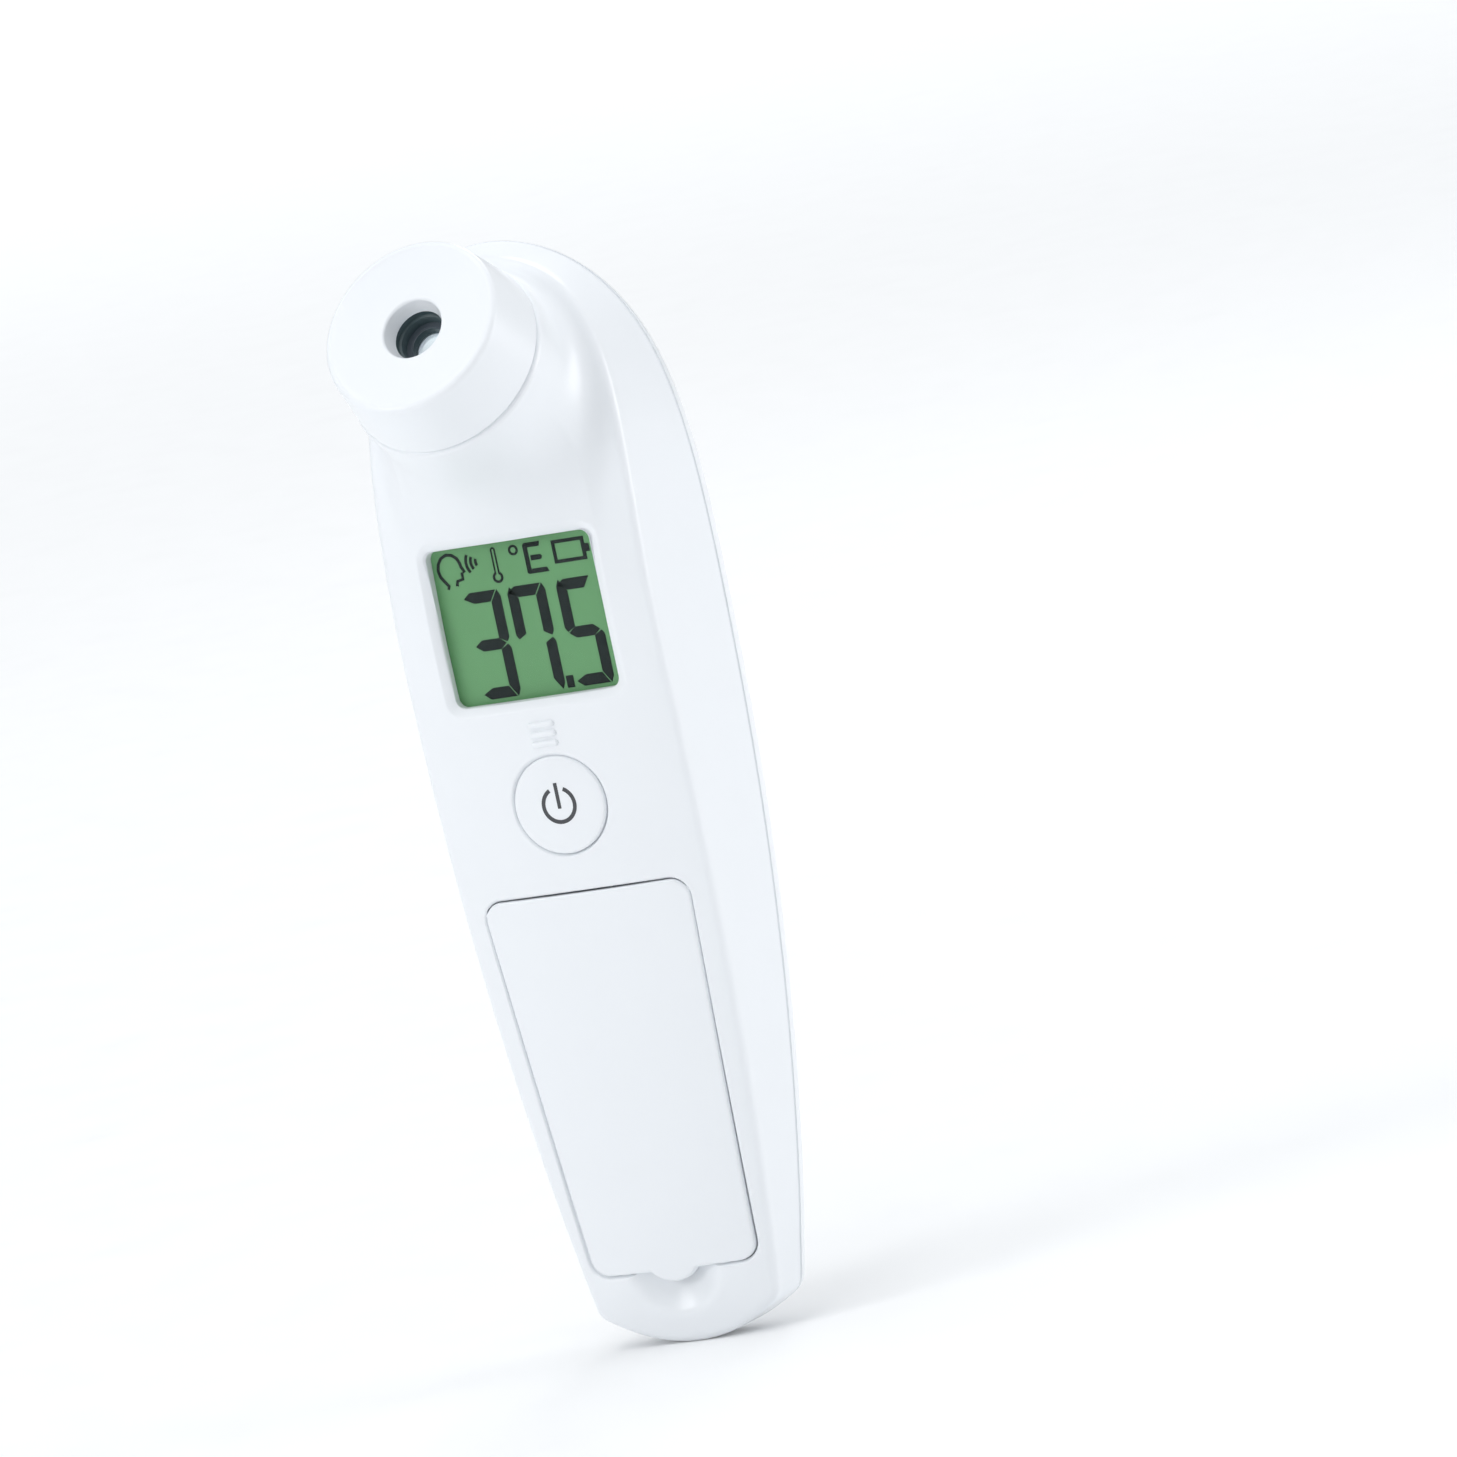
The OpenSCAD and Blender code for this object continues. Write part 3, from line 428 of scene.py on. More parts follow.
# ---------------------------------------------------------------- front housing
HOUSING_BOX = (-19.6, -16.4, -1.0), (19.6, 23.0, 138.4)
housing = implicit("housing_shell", housing_field, *HOUSING_BOX, SKIN_STEP)
combine(housing, implicit("inner", hollow(housing_field), *HOUSING_BOX, INNER_STEP, settle=1))


def seam_slab(beyond, y_end):
    """A solid block between a sheet that follows the seam, that far beyond it, and the depth y_end."""
    heights = np.linspace(-4, 142, 147)
    points = []
    for x in (-24, 24):
        for z in heights:
            points += [(x, float(seam_y(z)) + beyond, z), (x, y_end, z)]
    n = len(heights) * 2
    faces = []
    for i in range(len(heights) - 1):
        a = 2 * i
        faces += [[a, a + 1, a + 3, a + 2], [n + a, n + a + 2, n + a + 3, n + a + 1],
                  [a, a + 2, n + a + 2, n + a], [a + 1, n + a + 1, n + a + 3, a + 3]]
    faces += [[0, n, n + 1, 1], [n - 2, n - 1, 2 * n - 1, 2 * n - 2]]
    return turn_out(mesh_object("slab", points, faces))


combine(housing, seam_slab(0, 40))
display_levels = [(0, 9, 0), (0, WINDOW_Y + 0.1, 0), (0.05, WINDOW_Y - 0.12, 0), (0.12, None, 0.6),
                  (0.2, None, 0.52), (1.1, None, 0.04), (1.3, None, -0.04), (1.5, None, -0.09),
                  (1.7, None, -0.12), (1.75, None, -5)]
combine(housing, prism("cutter", rectangle_outline(DISPLAY_W, DISPLAY_H, 0, DISPLAY_Z, 1.2), display_levels))
HINGE_Y = float(face_edge_y(HINGE_Z)) - CROWN + 1.6


def door_swing_cutter():
    """Room behind the housing's edge for the door's top corner, which swings round the hinge."""
    profile = []
    for x in np.linspace(-DOOR_TOP_W / 2 + 0.3, DOOR_TOP_W / 2 - 0.3, 45):
        round_part = max(0.0, abs(x) - DOOR_TOP_W / 2 + DOOR_CORNER_R)
        top = 1.1 - DOOR_CORNER_R + math.sqrt(DOOR_CORNER_R ** 2 - round_part ** 2)
        profile.append((math.hypot(max(0.0, top), HINGE_Y - float(front_y(abs(x), HINGE_Z)) - 0.3) + 0.36, x))
    axis = placed((0, 1, 0), (0, 0, 1), (1, 0, 0), (0, HINGE_Y, HINGE_Z))
    return revolve("cutter", [(0, profile[0][1]), *profile, (0, profile[-1][1])], axis, 64)


lip_levels = [(-0.13, 9, 0), (-0.13, None, 0.52), (0, None, 0.4), (0.03, None, 0.3), (0.1, None, 0.14),
              (0.24, None, 0.02), (0.5, None, -0.14), (1.2, -4, 0)]
combine(housing, prism("cutter", circle_outline(0, MODE_Z, MODE_R + MODE_GAP), lip_levels))
combine(housing, prism("cutter", door_recess, lip_levels))
combine(housing, door_swing_cutter())
ledge_levels = [(0, None, DOOR_T + 0.06), (0, None, DOOR_T + 0.6)]
ledge_parts = [prism("ledge", strip, ledge_levels) for strip in (side_strip(-1), side_strip(1), foot_strip)]
# The neck's end: flat at the cap's seam, with a rounded lip, and open inside
combine(housing, revolve("cutter", [(0, 0), (NECK_R - 0.42, 0), *arc(NECK_R - 0.38, -0.4, 0.38, 84, 6),
                                    (NECK_R + 0.12, -0.6), (26, -0.6), (26, 30), (0, 30)], NOSE))
combine(housing, revolve("cutter", [(0, -8), (10.2, -8), (10.2, 1), (0, 1)], NOSE))

# ---------------------------------------------------------------- rear cover
COVER_BOX = (-19.6, 5.5, -1.0), (19.6, 29.0, 138.4)
cover = implicit("cover_shell", cover_field, *COVER_BOX, SKIN_STEP)
combine(cover, implicit("inner", hollow(cover_field), *COVER_BOX, INNER_STEP, settle=1))
combine(cover, seam_slab(SEAM_GAP, -6))
well = [(0, -14), (START_R + WELL_GAP, -14), (START_R + WELL_GAP, 9), (0, 9)]
combine(cover, revolve("cutter", well, START))


GROOVE_R = 0.26


def seam_groove():
    """A thin round rod along the seam, that cuts a groove into both shells' edges."""
    half_w, top, narrowing, roundness = SEAM
    path = []
    corner_w = half_w - narrowing * (1 - FOOT_CORNER_Z / WIDEST_Z) ** 2.3
    for i in range(24):
        x = corner_w * i / 24
        path.append((x, FOOT_CORNER_Z * (x / corner_w) ** 2))
    for z in np.linspace(FOOT_CORNER_Z, WIDEST_Z, 90)[:-1]:
        path.append((half_w - narrowing * (1 - z / WIDEST_Z) ** 2.3, z))
    for t in np.linspace(0, 1, 110):
        rise = 1 - (1 - t) ** 2.2
        path.append((half_w * math.sqrt(max(0, 1 - rise ** roundness)), WIDEST_Z + (top - WIDEST_Z) * rise))
    loop = path + [(-x, z) for x, z in path[-2:0:-1]]
    centre = np.array([(x, float(seam_y(z)) + SEAM_GAP / 2, z) for x, z in loop])
    along = np.roll(centre, -1, 0) - np.roll(centre, 1, 0)
    along /= np.linalg.norm(along, axis=1)[:, None]
    side = np.cross(along, (0, 1, 0))
    side /= np.linalg.norm(side, axis=1)[:, None]
    up = np.cross(side, along)
    points = [p + GROOVE_R * (math.cos(a) * u + math.sin(a) * v) for p, u, v in zip(centre, side, up)
              for a in np.arange(10) * math.pi / 5]
    n = len(loop)
    faces = [[i * 10 + k, i * 10 + (k + 1) % 10, (i + 1) % n * 10 + (k + 1) % 10, (i + 1) % n * 10 + k]
             for i in range(n) for k in range(10)]
    return turn_out(mesh_object("groove", points, faces))


rod = seam_groove()
combine(housing, rod, keep_tool=True)
combine(cover, rod)

# ---------------------------------------------------------------- cap and sensor
TUBE_END = CAP_LEN - 2.7
RING_LOW = 4.1
DISH = 0.75                              # the cap's face is hollow


def dish_height(r):
    return CAP_LEN - 0.02 - DISH * (1 - (r / 10.8) ** 2)


cap = revolve("cap_shell", [
    (12.55, 0.18), (12.7, 0.34), (12.62, 1.2), *arc(11.62 - 0.8, CAP_LEN - 0.8, 0.8, 6, 98, 10),
    *[(r, dish_height(r)) for r in np.linspace(10.6, 4.5, 12)],
    *arc(3.85 + 0.45, dish_height(4.3) - 0.45, 0.45, 90, 175, 8), (3.3, TUBE_END), (4.6, TUBE_END),
    (4.6, CAP_LEN - 1.7), (10.0, CAP_LEN - 1.7), (11.2, 2), (8.7, 1), (8.7, -2.6), (10.12, -2.6),
    (10.12, 0.0), (12.5, 0.0)], NOSE, 240)
ring = revolve("lens_ring_fine", [
    (2.9, 3.7), (4.4, RING_LOW), (4.4, TUBE_END - 0.04), (3.75, TUBE_END - 0.06), (3.45, TUBE_END - 0.2),
    (3.35, TUBE_END - 0.9), (3.05, TUBE_END - 1.0), (2.95, RING_LOW + 0.2)], NOSE, 96)
lens_profile = [(0, 2.35), (2.92, 2.35)] + [
    (r, RING_LOW + 0.1 - 9 + math.sqrt(81 - r * r)) for r in np.linspace(2.92, 0, 14)]
lens = revolve("lens_fine", lens_profile, NOSE, 96)

# ---------------------------------------------------------------- buttons
start = revolve("start_cap", [
    (7.95, -1.05), (8.0, -0.9), (8.5, -0.82), (8.6, -0.72), (9.3, -1.12),
    *arc(START_R - 0.3, -1.35, 0.3, 42, 4, 4), (START_R, -4.9), (START_R - 1.5, -4.9)], START, 200)
start_face = revolve("start_face", [
    (0, -1.6), (0, -1.12), (0.3, -1.14), (0.6, -1.24), (0.8, -1.26), (1.0, -1.18), (1.15, -0.96), (1.26, -0.74),
    (1.42, -0.63), (1.7, -0.6), (5.0, -0.6), (7.9, -0.61), (8.05, -0.57), *arc(8.3, -0.78, 0.34, 122, 28, 7),
    (8.56, -0.78), (8.4, -0.9), (8.0, -1.04), (2.4, -1.04), (2.4, -1.6)], START, 200)
stem = revolve("start_stem", [(0, -7.0), (0.9, -6.95), (1.5, -6.3), (1.5, -1.5), (0, -1.5)], START, 48)
mode_top = float(front_y(0.0, MODE_Z)) - 0.1
MODE = placed((1, 0, 0), (0, 0, 1), (0, -1, 0), (0, mode_top, MODE_Z))
mode = revolve("mode_cap", [
    (0, 0), (2.5, -0.01), (4.4, -0.04), (5.3, -0.07), *arc(MODE_R - 0.35, -0.45, 0.35, 84, 4, 6),
    (MODE_R, -2.8), (MODE_R - 1.2, -2.8), (MODE_R - 1.2, -1.3), (0, -1.3)], MODE, 160)
mode_skirt = revolve("mode_skirt", [(MODE_R - 0.1, -1.78), (MODE_R + 1.1, -1.78), (MODE_R + 1.1, -2.6),
                                    (MODE_R - 1.2, -2.6), (MODE_R - 1.2, -1.7), (MODE_R - 0.1, -1.7)], MODE, 96)
mode_stem = revolve("mode_stem", [(0, -1.2), (1.6, -1.2), (1.6, -7.4), (0, -7.4)], MODE, 48)

# ---------------------------------------------------------------- battery door
def polygon_distance(x, z, corners):
    """Signed distance to a convex polygon."""
    near, deep = np.full(np.broadcast(x, z).shape, 1e9), np.full(np.broadcast(x, z).shape, -1e9)
    n = len(corners)
    for i in range(n):
        (ax, az), (bx, bz) = corners[i], corners[(i + 1) % n]
        ex, ez = bx - ax, bz - az
        length = math.hypot(ex, ez)
        t = np.clip(((x - ax) * ex + (z - az) * ez) / length ** 2, 0, 1)
        near = np.minimum(near, np.hypot(x - ax - t * ex, z - az - t * ez))
        deep = np.maximum(deep, ((x - ax) * ez - (z - az) * ex) / length)
    return np.where(deep > 0, near, deep)


def door_field(x, y, z):
    shape = polygon_distance(x, z, door_corners(-DOOR_CORNER_R)) - DOOR_CORNER_R
    shape = np.minimum(shape, np.hypot(x, z - TAB_Z) - TAB_R)
    face = front_y(x, z)
    slab = np.maximum(round_max(shape, face - y, 0.3), y - face - DOOR_T)
    swing = np.hypot(y - HINGE_Y, z - HINGE_Z) - np.hypot(1.1, HINGE_Y - face - 0.3) - 0.31
    return np.where(z > HINGE_Z, np.maximum(slab, swing), slab)


door = implicit("door_shell", door_field, (-15.2, -0.9, 6.2), (15.2, 8.2, 59.0), DOOR_STEP)
pins = []
for side in (-1, 1):
    pin = placed((0, 0, 1), (0, side, 0), (side, 0, 0), (side * 12.2, HINGE_Y, HINGE_Z))
    pin_name = "door_pin_left" if side < 0 else "door_pin_right"
    pins.append(revolve(pin_name, [(0, 0), (0.5, 0), (0.5, 2.4), (0.35, 2.6), (0, 2.6)], pin, 32))

housing.name, cover.name = "housing_shell", "cover_shell"


# ---------------------------------------------------------------- flat marks
def plate(name, loops, matrix, thick, lift=0.0):
    """A thin plate with holes: loops of (x, y) points, filled, and thickened out along the local z axis."""
    work = bmesh.new()
    edges = []
    for loop in loops:
        verts = [work.verts.new((float(p[0]), float(p[1]), 0)) for p in loop]
        edges += [work.edges.new((verts[i], verts[(i + 1) % len(verts)])) for i in range(len(verts))]
    bmesh.ops.triangle_fill(work, use_beauty=True, use_dissolve=False, edges=edges)
    bottom = list(work.faces)
    grown = bmesh.ops.extrude_face_region(work, geom=bottom)
    for v in [g for g in grown["geom"] if isinstance(g, bmesh.types.BMVert)]:
        v.co.z += thick
    bmesh.ops.recalc_face_normals(work, faces=work.faces)
    work.verts.index_update()
    points = [(v.co.x, v.co.y, v.co.z + lift) for v in work.verts]
    faces = [[v.index for v in f.verts] for f in work.faces]
    work.free()
    return mesh_object(name, points, faces, matrix)


def ring_loops(x, y, r, width, steps=48):
    return [[(x + q * math.cos(2 * math.pi * k / steps), y + q * math.sin(2 * math.pi * k / steps))
             for k in range(steps)] for q in (r, r - width)]


def stroke_loop(path, width):
    """One loop round a line of points, drawn with a pen of that width."""
    path = np.array(path, float)
    along = np.gradient(path, axis=0)
    along /= np.linalg.norm(along, axis=1)[:, None]
    side = np.stack([-along[:, 1], along[:, 0]], 1) * width / 2
    return [*(path + side), *(path - side)[::-1]]


def arc_path(x, y, r, start, end, steps=20):
    return [(x + r * math.cos(math.radians(start + (end - start) * k / steps)),
             y + r * math.sin(math.radians(start + (end - start) * k / steps))) for k in range(steps + 1)]


def joined(name, parts):
    """One object from several."""
    work = bmesh.new()
    for part in parts:
        work.from_mesh(part.data)
        bpy.data.objects.remove(part)
    mesh = bpy.data.meshes.new(name)
    work.to_mesh(mesh)
    work.free()
    made = bpy.data.objects.new(name, mesh)
    bpy.context.scene.collection.objects.link(made)
    return made


# Seven-segment figures and the row of symbols above them
LCD = placed((1, 0, 0), (0, 0, 1), (0, -1, 0), (0, LCD_Y, DISPLAY_Z))
DIGIT_W, DIGIT_H, STROKE, CUT = 5.2, 13.3, 1.4, 0.09
PRINT_T = 0.05                           # thickness of segments and printed symbols


def segments():
    """Outlines of the seven segments of one figure, mitred where they meet."""
    w, h, s, g = DIGIT_W / 2, DIGIT_H / 2, STROKE, CUT
    top = [(-w + 0.75 * s, h), (w - 0.35 * s - g, h), (w - s - g, h - s), (-w + s + g, h - s),
           (-w + 0.15, h - 0.5 * s)]
    upper_right = [(w - 0.35 * s + g, h), (w, h - 0.6 * s), (w, 0.5 * s), (w - 0.25 * s, g * 1.4),
                   (w - s, 0.5 * s), (w - s, h - s - g)]
    middle = [(-w + 0.3 * s, 0), (-w + s, s / 2), (w - s, s / 2), (w - 0.3 * s - g, 0), (w - s, -s / 2),
              (-w + s, -s / 2)]
    bottom = [(x, -z) for x, z in reversed(top)]
    lower_right = [(x, -z) for x, z in reversed(upper_right)]
    return {"a": top, "b": upper_right, "c": lower_right, "d": bottom, "g": middle,
            "f": [(-x, z) for x, z in reversed(upper_right)], "e": [(-x, -z) for x, z in upper_right]}


def lcd_plate(*loops):
    return plate("lcd_part", loops, LCD, PRINT_T)


parts = []
for centre, letters in ((-5.55, "abcdg"), (0.6, "fabc"), (7.3, "afgcd")):
    for letter in letters:
        parts.append(lcd_plate([(centre + x, -2.7 + z) for x, z in segments()[letter]]))
parts.append(lcd_plate([(3.42, -9.3), (4.42, -9.3), (4.42, -7.8), (3.42, -7.8)]))     # decimal point
digits = joined("lcd_figures", parts)
head = [(-9.75, 4.75), (-9.55, 5.15), (-10.0, 5.75), (-10.45, 6.4), (-10.6, 7.2), (-10.4, 8.0), (-9.9, 8.65),
        (-9.15, 8.98), (-8.4, 8.85), (-7.8, 8.4), (-7.5, 7.75), (-7.45, 7.3), (-7.1, 6.65), (-7.5, 6.5),
        (-7.5, 5.75), (-8.3, 5.6), (-8.45, 5.0)]
symbols = joined("lcd_symbols", [
    lcd_plate(stroke_loop(head, 0.4)),
    *[lcd_plate(stroke_loop(arc_path(-4.6, 7.6, r, 150, 215, 12), 0.36)) for r in (0.75, 1.4, 2.05)],
    # a thermometer
    lcd_plate([*arc_path(-2.75, 5.35, 0.72, 118, 422, 24), *arc_path(-2.75, 8.75, 0.34, 0, 180, 8)],
              [*arc_path(-2.75, 5.35, 0.4, 110, 430, 18), *arc_path(-2.75, 8.75, 0.12, 0, 180, 6)]),
    # the degree ring and its unit
    lcd_plate(*ring_loops(0.0, 8.35, 0.66, 0.3, 28)),
    lcd_plate([(1.35, 5.35), (1.35, 8.75), (1.6, 9.0), (3.75, 9.0), (3.55, 8.4), (1.95, 8.4), (1.95, 5.75),
               (4.05, 5.75), (4.3, 5.15), (1.55, 5.15)]),
    lcd_plate([(2.15, 6.75), (2.15, 7.4), (3.5, 7.4), (3.75, 7.1), (3.5, 6.75)]),
    # a battery
    lcd_plate([(5.25, 5.9), (9.7, 5.9), (9.7, 6.85), (10.25, 6.85), (10.25, 7.85), (9.7, 7.85), (9.7, 8.8),
               (5.25, 8.8)], [(5.7, 6.35), (9.2, 6.35), (9.2, 8.35), (5.7, 8.35)])])

# Power symbol printed on the mode button
POWER_LIFT = -0.035                      # sunk a little into the button's domed top
power = joined("power_symbol", [
    plate("ring", [stroke_loop(arc_path(0, 0, 2.1, 116, 424, 48), 0.5)], MODE, PRINT_T, POWER_LIFT),
    plate("bar", [[(-0.24, -0.45), (0.24, -0.45), (0.24, 2.75), (-0.24, 2.75)]], MODE, PRINT_T, POWER_LIFT)])


def moulded_bar(z):
    """A low rounded bar across the display face."""
    lying = placed((0, 1, 0), (0, 0, 1), (1, 0, 0), (0, float(front_y(0.0, z)) + 0.06, z))
    half, r = 1.85, 0.43
    profile = [(r * math.sin(math.radians(a)), -half + r - r * math.cos(math.radians(a)))
               for a in range(0, 91, 15)]
    return revolve("bar", profile + [(q, -h) for q, h in reversed(profile)], lying, 28)


# Generic mark moulded above the mode button
mark = joined("moulded_mark", [moulded_bar(77.8 + dz) for dz in (-1.2, 0, 1.2)])


def back_y(x, z):
    """Depth of the rear cover's outer surface."""
    low, high = float(seam_y(z)), 30.0
    for _ in range(20):
        mid = (low + high) / 2
        low, high = (mid, high) if float(cover_field(x, mid, z)) < 0 else (low, mid)
    return low


# Arcs printed above the start button, laid on the cover
BACK_OUT = placed((-1, 0, 0), (0, 0, 1), (0, 1, 0), (0, 0, 0))   # local (x seen from behind, up, out of the back)
waves = joined("printed_waves", [
    plate("wave", [stroke_loop(arc_path(0, 130.2, r, 52, 128, 24), 0.34)], BACK_OUT, 1, -0.5)
    for r in (1.3, 2.3, 3.3)])
for v in waves.data.vertices:
    outer = v.co.y / MM + GRIP_Y > 0
    v.co.y = (back_y(v.co.x / MM, v.co.z / MM + GRIP_Z) + (0.04 if outer else -0.3) - GRIP_Y) * MM

# ---------------------------------------------------------------- materials
record = frame["record"]
colours = {m["slot"]: m["base_color"] for m in record["materials"]}


def material(name, colour, rough, vary=0.05, bump=0.0, grain=3000.0, metal=0.0, alpha=1.0, coat=0.0, glow=0.0,
             specular=0.5, brushed=False, transmission=0.0):
    """A moulded or metal finish: colour that varies a little, patchy roughness and a fine grain."""
    made = bpy.data.materials.new(name)
    made.use_nodes = True
    tree = made.node_tree
    shader = tree.nodes["Principled BSDF"]
    place = tree.nodes.new("ShaderNodeTexCoord")
    patch = tree.nodes.new("ShaderNodeTexNoise")
    patch.inputs["Scale"].default_value = 90
    patch.inputs["Detail"].default_value = 3
    tree.links.new(place.outputs["Object"], patch.inputs["Vector"])
    mix = tree.nodes.new("ShaderNodeMix")
    mix.data_type = "RGBA"
    mix.inputs["A"].default_value = (*[c * (1 - vary) for c in colour[:3]], 1)
    mix.inputs["B"].default_value = (*[min(1, c * (1 + vary)) for c in colour[:3]], 1)
    tree.links.new(patch.outputs["Fac"], mix.inputs["Factor"])
    tree.links.new(mix.outputs["Result"], shader.inputs["Base Color"])
    spread = tree.nodes.new("ShaderNodeMapRange")
    spread.inputs["From Min"].default_value, spread.inputs["From Max"].default_value = 0.2, 0.8
    spread.inputs["To Min"].default_value, spread.inputs["To Max"].default_value = rough * 0.8, min(1, rough * 1.2)
    tree.links.new(patch.outputs["Fac"], spread.inputs["Value"])
    tree.links.new(spread.outputs["Result"], shader.inputs["Roughness"])
    if bump:
        fine = tree.nodes.new("ShaderNodeTexNoise")
        fine.inputs["Scale"].default_value = grain
        fine.inputs["Detail"].default_value = 2
        source = place.outputs["Object"]
        if brushed:
            stretch = tree.nodes.new("ShaderNodeMapping")
            stretch.inputs["Scale"].default_value = (1, 1, 0.04)
            tree.links.new(source, stretch.inputs["Vector"])
            source = stretch.outputs["Vector"]
        tree.links.new(source, fine.inputs["Vector"])
        rise = tree.nodes.new("ShaderNodeBump")
        rise.inputs["Strength"].default_value = 1.0
        rise.inputs["Distance"].default_value = bump
        tree.links.new(fine.outputs["Fac"], rise.inputs["Height"])
        tree.links.new(rise.outputs["Normal"], shader.inputs["Normal"])
    shader.inputs["Metallic"].default_value = metal
    shader.inputs["Alpha"].default_value = alpha
    shader.inputs["Coat Weight"].default_value = coat
    shader.inputs["Coat Roughness"].default_value = 0.12
    shader.inputs["Specular IOR Level"].default_value = specular
    shader.inputs["IOR"].default_value = 1.47
    shader.inputs["Transmission Weight"].default_value = transmission
    if glow:
        tree.links.new(mix.outputs["Result"], shader.inputs["Emission Color"])
        shader.inputs["Emission Strength"].default_value = glow
    return made


for white_slot in ("housing_white", "cover_white", "cap_white", "door_white", "mode_white"):
    colours[white_slot] = (0.85, 0.875, 0.905)
colours["start_blue"] = (0.115, 0.178, 0.41)
colours["lcd_green"] = (0.15, 0.38, 0.165)
colours["window_clear"] = (0.01, 0.015, 0.012)
colours["lens_glass"] = (0.8, 0.88, 0.93)
colours["ring_black"] = (0.055, 0.09, 0.1)
WHITE = dict(rough=0.34, vary=0.012, bump=0.0000012, grain=5200, coat=0.12)
finishes = {
    "housing_white": WHITE, "cover_white": WHITE, "cap_white": WHITE, "door_white": WHITE,
    "mode_white": dict(WHITE, rough=0.3),
    "start_blue": dict(rough=0.25, vary=0.05, bump=0.0000012, grain=5200, coat=0.45),
    "ring_black": dict(rough=0.45, bump=0.000002, grain=4000),
    "lens_glass": dict(rough=0.1, vary=0.1, coat=0.5, specular=0.9, metal=1.0),
    "barrel_dark": dict(rough=0.35, bump=0.000002, grain=4000),
    "inner_plastic": dict(rough=0.5, bump=0.000004, grain=3000),
    "gasket_rubber": dict(rough=0.7, bump=0.000006, grain=3000),
    "can_steel": dict(rough=0.3, metal=1.0, bump=0.000002, grain=9000, brushed=True),
    "filter_glass": dict(rough=0.08, vary=0.1, coat=0.8),
    "gold_plate": dict(rough=0.28, metal=1.0, bump=0.000002, grain=5000),
    "board_green": dict(rough=0.35, vary=0.12, bump=0.000006, grain=1500, coat=0.3),
    "cable_amber": dict(rough=0.35, vary=0.1, bump=0.000003, grain=2500),
    "window_clear": dict(rough=0.04, vary=0.02, alpha=0.1, specular=0.35),
    # The display panel glows a little: painted light that brightens it beyond what the lamps give.
    "lcd_green": dict(rough=0.35, vary=0.03, bump=0.000001, grain=7000, glow=0.25),
    "segment_black": dict(rough=0.5, vary=0.1, bump=0.000001, grain=6000, specular=0.2),
    "guide_clear": dict(rough=0.3, vary=0.03, transmission=0.4, bump=0.000004, grain=2500),
    "led_yellow": dict(rough=0.25, vary=0.05, bump=0.000003, grain=4000),
    "zebra_rubber": dict(rough=0.6, vary=0.2, bump=0.00001, grain=2600, brushed=True),
    "chip_black": dict(rough=0.55, vary=0.15, bump=0.000006, grain=5000),
    "chip_tan": dict(rough=0.5, vary=0.2, bump=0.000006, grain=3000),
    "plunger_ivory": dict(rough=0.4, vary=0.04, bump=0.000003, grain=3500),
    "spring_steel": dict(rough=0.25, metal=1.0, vary=0.08, bump=0.000002, grain=8000, brushed=True),
    "cell_jacket": dict(rough=0.3, vary=0.1, bump=0.000002, grain=2000, coat=0.3),
    "lead_red": dict(rough=0.45, vary=0.08, bump=0.000004, grain=3000),
    "screw_steel": dict(rough=0.32, metal=1.0, vary=0.08, bump=0.000002, grain=6000)}
materials = {slot: material(slot, colours[slot], **how) for slot, how in finishes.items()}
# A darker copy of the button's blue for its bevel and side: painted shade. The face and rounded rim keep the
# lighter blue.
painted_shade_blue = material("start_blue_painted_shade", (0.018, 0.034, 0.125), rough=0.3, vary=0.05, bump=0.0000012, grain=5200, coat=0.1)
ink = material("printed_grey", (0.06, 0.063, 0.07), rough=0.45, vary=0.06, bump=0.000001, grain=6000)


def smooth(made, angle=34):
    mesh = made.data
    mesh.polygons.foreach_set("use_smooth", [True] * len(mesh.polygons))
    mesh.set_sharp_from_angle(angle=math.radians(angle))


def dress(made, slot, body, replaced=(), look=None):
    """Gives a new piece its material, by its slot unless a look is given, and the body that it rides on."""
    made.data.materials.clear()
    made.data.materials.append(look or materials[slot])
    smooth(made)
    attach(made, body)
    if replaced:
        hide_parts(*replaced)


slot_of = {s["node"]: s["material_slot"] for s in record["subparts"]}
for name, node in nodes.items():
    node.data.materials.clear()
    node.data.materials.append(materials[slot_of[name]])
    smooth(node)

dress(housing, "housing_white", "housing", ["front_housing"])
dress(cover, "cover_white", "housing", ["rear_cover"])
dress(joined("door_ledge", ledge_parts), "housing_white", "housing")
dress(cap, "cap_white", "housing", ["probe_cap"])
dress(ring, "ring_black", "housing", ["lens_ring"])
dress(lens, "lens_glass", "housing", ["infrared_lens"])
dress(digits, "segment_black", "housing", ["display_segments"])
dress(symbols, "segment_black", "housing")
dress(mark, "housing_white", "housing")
# The bevel and side take the darker blue, painted shade of the same plastic.
dress(start, "start_blue", "start_button", ["start_button"], look=painted_shade_blue)
dress(start_face, "start_blue", "start_button")
dress(stem, "start_blue", "start_button")
dress(mode, "mode_white", "mode_button", ["mode_button"])
dress(mode_skirt, "mode_white", "mode_button")
dress(mode_stem, "mode_white", "mode_button")
dress(power, "mode_white", "mode_button", look=ink)
dress(waves, "cover_white", "housing", look=ink)
dress(door, "door_white", "battery_door", ["battery_door"])
for pin in pins:
    dress(pin, "door_white", "battery_door")

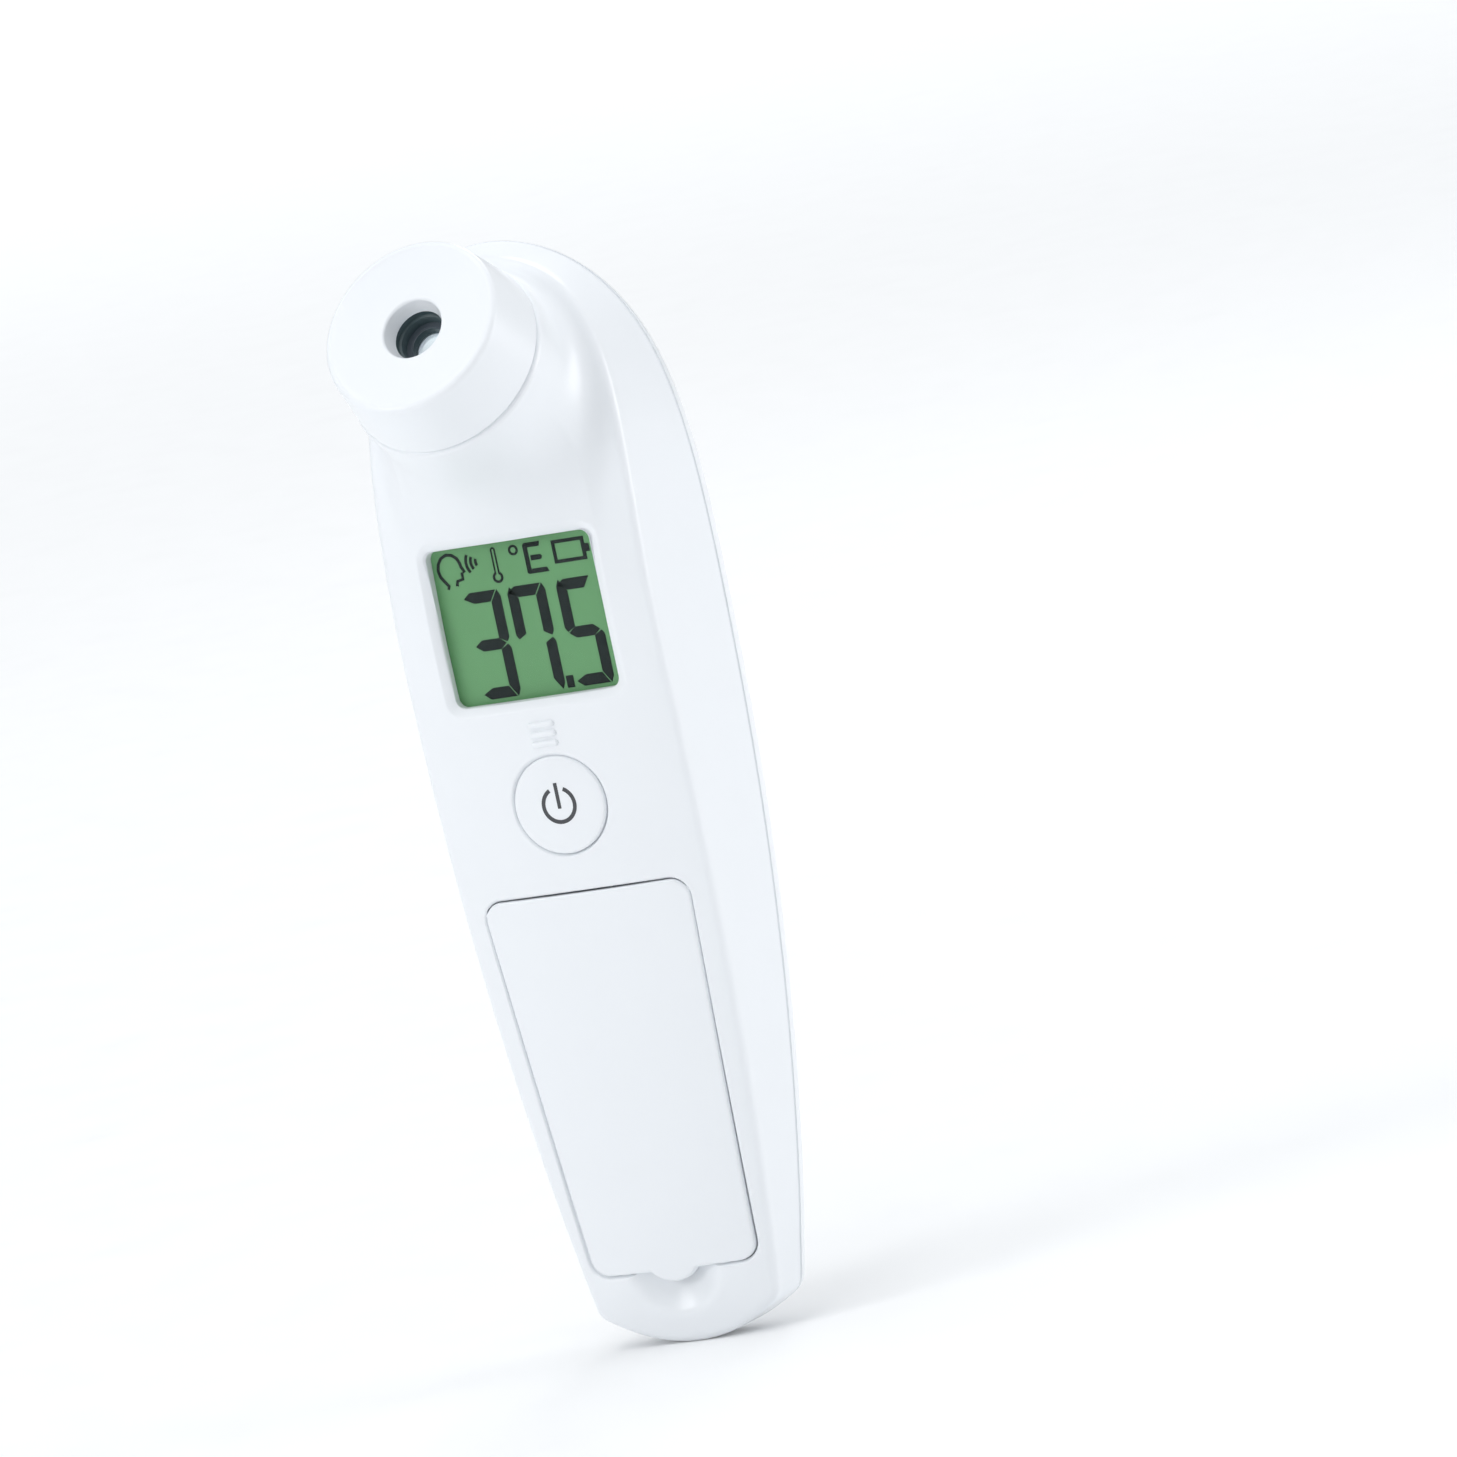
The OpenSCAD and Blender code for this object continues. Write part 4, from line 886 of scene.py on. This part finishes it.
# ---------------------------------------------------------------- floor, light and camera
bpy.ops.mesh.primitive_plane_add(size=6, location=(0, 0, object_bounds()[0].z))
floor = bpy.context.object
floor.name = "floor"
floor_look = material("floor_white", (0.9, 0.905, 0.91), 0.7, vary=0.004, bump=0.00001, grain=400, glow=0.07)
floor.data.materials.append(floor_look)
floor_tree = floor_look.node_tree
place_on_floor = floor_tree.nodes.new("ShaderNodeTexCoord")
reach = floor_tree.nodes.new("ShaderNodeVectorMath")
reach.operation = "LENGTH"
paler = floor_tree.nodes.new("ShaderNodeMapRange")                 # paler further away, as on a lit backdrop
paler.inputs["From Min"].default_value, paler.inputs["From Max"].default_value = 0.1, 3.0
paler.inputs["To Min"].default_value, paler.inputs["To Max"].default_value = 0.04, 0.62
floor_tree.links.new(place_on_floor.outputs["Object"], reach.inputs[0])
floor_tree.links.new(reach.outputs["Value"], paler.inputs["Value"])
floor_tree.links.new(paler.outputs["Result"], floor_tree.nodes["Principled BSDF"].inputs["Emission Strength"])

world = bpy.data.worlds.new("studio")
bpy.context.scene.world = world
world.use_nodes = True
sky, join = world.node_tree.nodes, world.node_tree.links
surround = sky["Background"]
surround.inputs["Color"].default_value = (0.95, 0.975, 1.0, 1)
heading = sky.new("ShaderNodeTexCoord")
split = sky.new("ShaderNodeSeparateXYZ")
fade = sky.new("ShaderNodeMapRange")                               # brighter overhead than at the sides
fade.inputs["From Min"].default_value, fade.inputs["From Max"].default_value = 0.0, 1.0
fade.inputs["To Min"].default_value, fade.inputs["To Max"].default_value = 0.06, 1.12
join.new(heading.outputs["Generated"], split.inputs["Vector"])
join.new(split.outputs["Z"], fade.inputs["Value"])
join.new(fade.outputs["Result"], surround.inputs["Strength"])
seen = sky.new("ShaderNodeBackground")                             # what the camera sees behind the object
seen.inputs["Color"].default_value = (1, 1, 1, 1)
seen.inputs["Strength"].default_value = 0.985
path = sky.new("ShaderNodeLightPath")
choose = sky.new("ShaderNodeMixShader")
join.new(path.outputs["Is Camera Ray"], choose.inputs["Fac"])
join.new(surround.outputs["Background"], choose.inputs[1])
join.new(seen.outputs["Background"], choose.inputs[2])
join.new(choose.outputs["Shader"], sky["World Output"].inputs["Surface"])

AZ, EL, ROLL = math.radians(26.82), math.radians(7.42), math.radians(-12.07)
level = Vector((math.cos(AZ), math.sin(AZ), 0))
upright = Vector((-math.sin(AZ) * math.sin(EL), math.cos(AZ) * math.sin(EL), math.cos(EL)))
right = level * math.cos(ROLL) + upright * math.sin(ROLL)
up = upright * math.cos(ROLL) - level * math.sin(ROLL)
back = Vector((math.sin(AZ) * math.cos(EL), -math.cos(AZ) * math.cos(EL), math.sin(EL)))


def light(name, toward, distance, size, power):
    """An area light that looks at the object from a direction given by the camera's right, up and back."""
    direction = (right * toward[0] + up * toward[1] + back * toward[2]).normalized()
    lamp = bpy.data.lights.new(name, "AREA")
    lamp.shape, lamp.size, lamp.energy = "DISK", size, power
    made = bpy.data.objects.new(name, lamp)
    made.location = direction * distance + Vector((0, 0, 0.03))
    made.rotation_mode = "QUATERNION"
    made.rotation_quaternion = direction.to_track_quat("Z", "Y")
    bpy.context.scene.collection.objects.link(made)


light("key", (-0.45, 0.9, 0.7), 0.9, 0.45, 0.85)
light("top", (-0.3, 1.0, 0.15), 0.9, 0.45, 1.0)
light("side", (1.0, 0.3, 0.1), 1.0, 0.5, 3.2)
light("left", (-1.0, 0.15, 0.6), 1.0, 0.4, 2.2)
light("rear", (0.16, 0.72, -0.68), 1.0, 0.45, 1.1)
light("left_low", (-1.0, -0.3, 0.3), 1.0, 0.4, 0.5)

FRAME_MM = 177.7      # width of what the camera sees, at the object
DISTANCE = 1.6
camera = bpy.data.cameras.new("camera")
camera.sensor_width = 36
camera.lens = 36 * DISTANCE / (FRAME_MM * MM)
camera.clip_start, camera.clip_end = 0.05, 20
eye = bpy.data.objects.new("camera", camera)
bpy.context.scene.collection.objects.link(eye)
fit = Vector((0, GRIP_Y, GRIP_Z - 2.4)) * MM           # from the frame's origin to the camera fit's
aim = right * (7.25 * MM) + up * (74.02 * MM)
aim += back * ((Vector((0, 0, 0.02)) + fit).dot(back))
turned = Matrix((right, up, back)).transposed().to_4x4()
turned.translation = aim - fit + back * DISTANCE
eye.matrix_world = turned
bpy.context.scene.camera = eye

scene = bpy.context.scene
scene.view_settings.view_transform = "Standard"
scene.view_settings.look = "None"
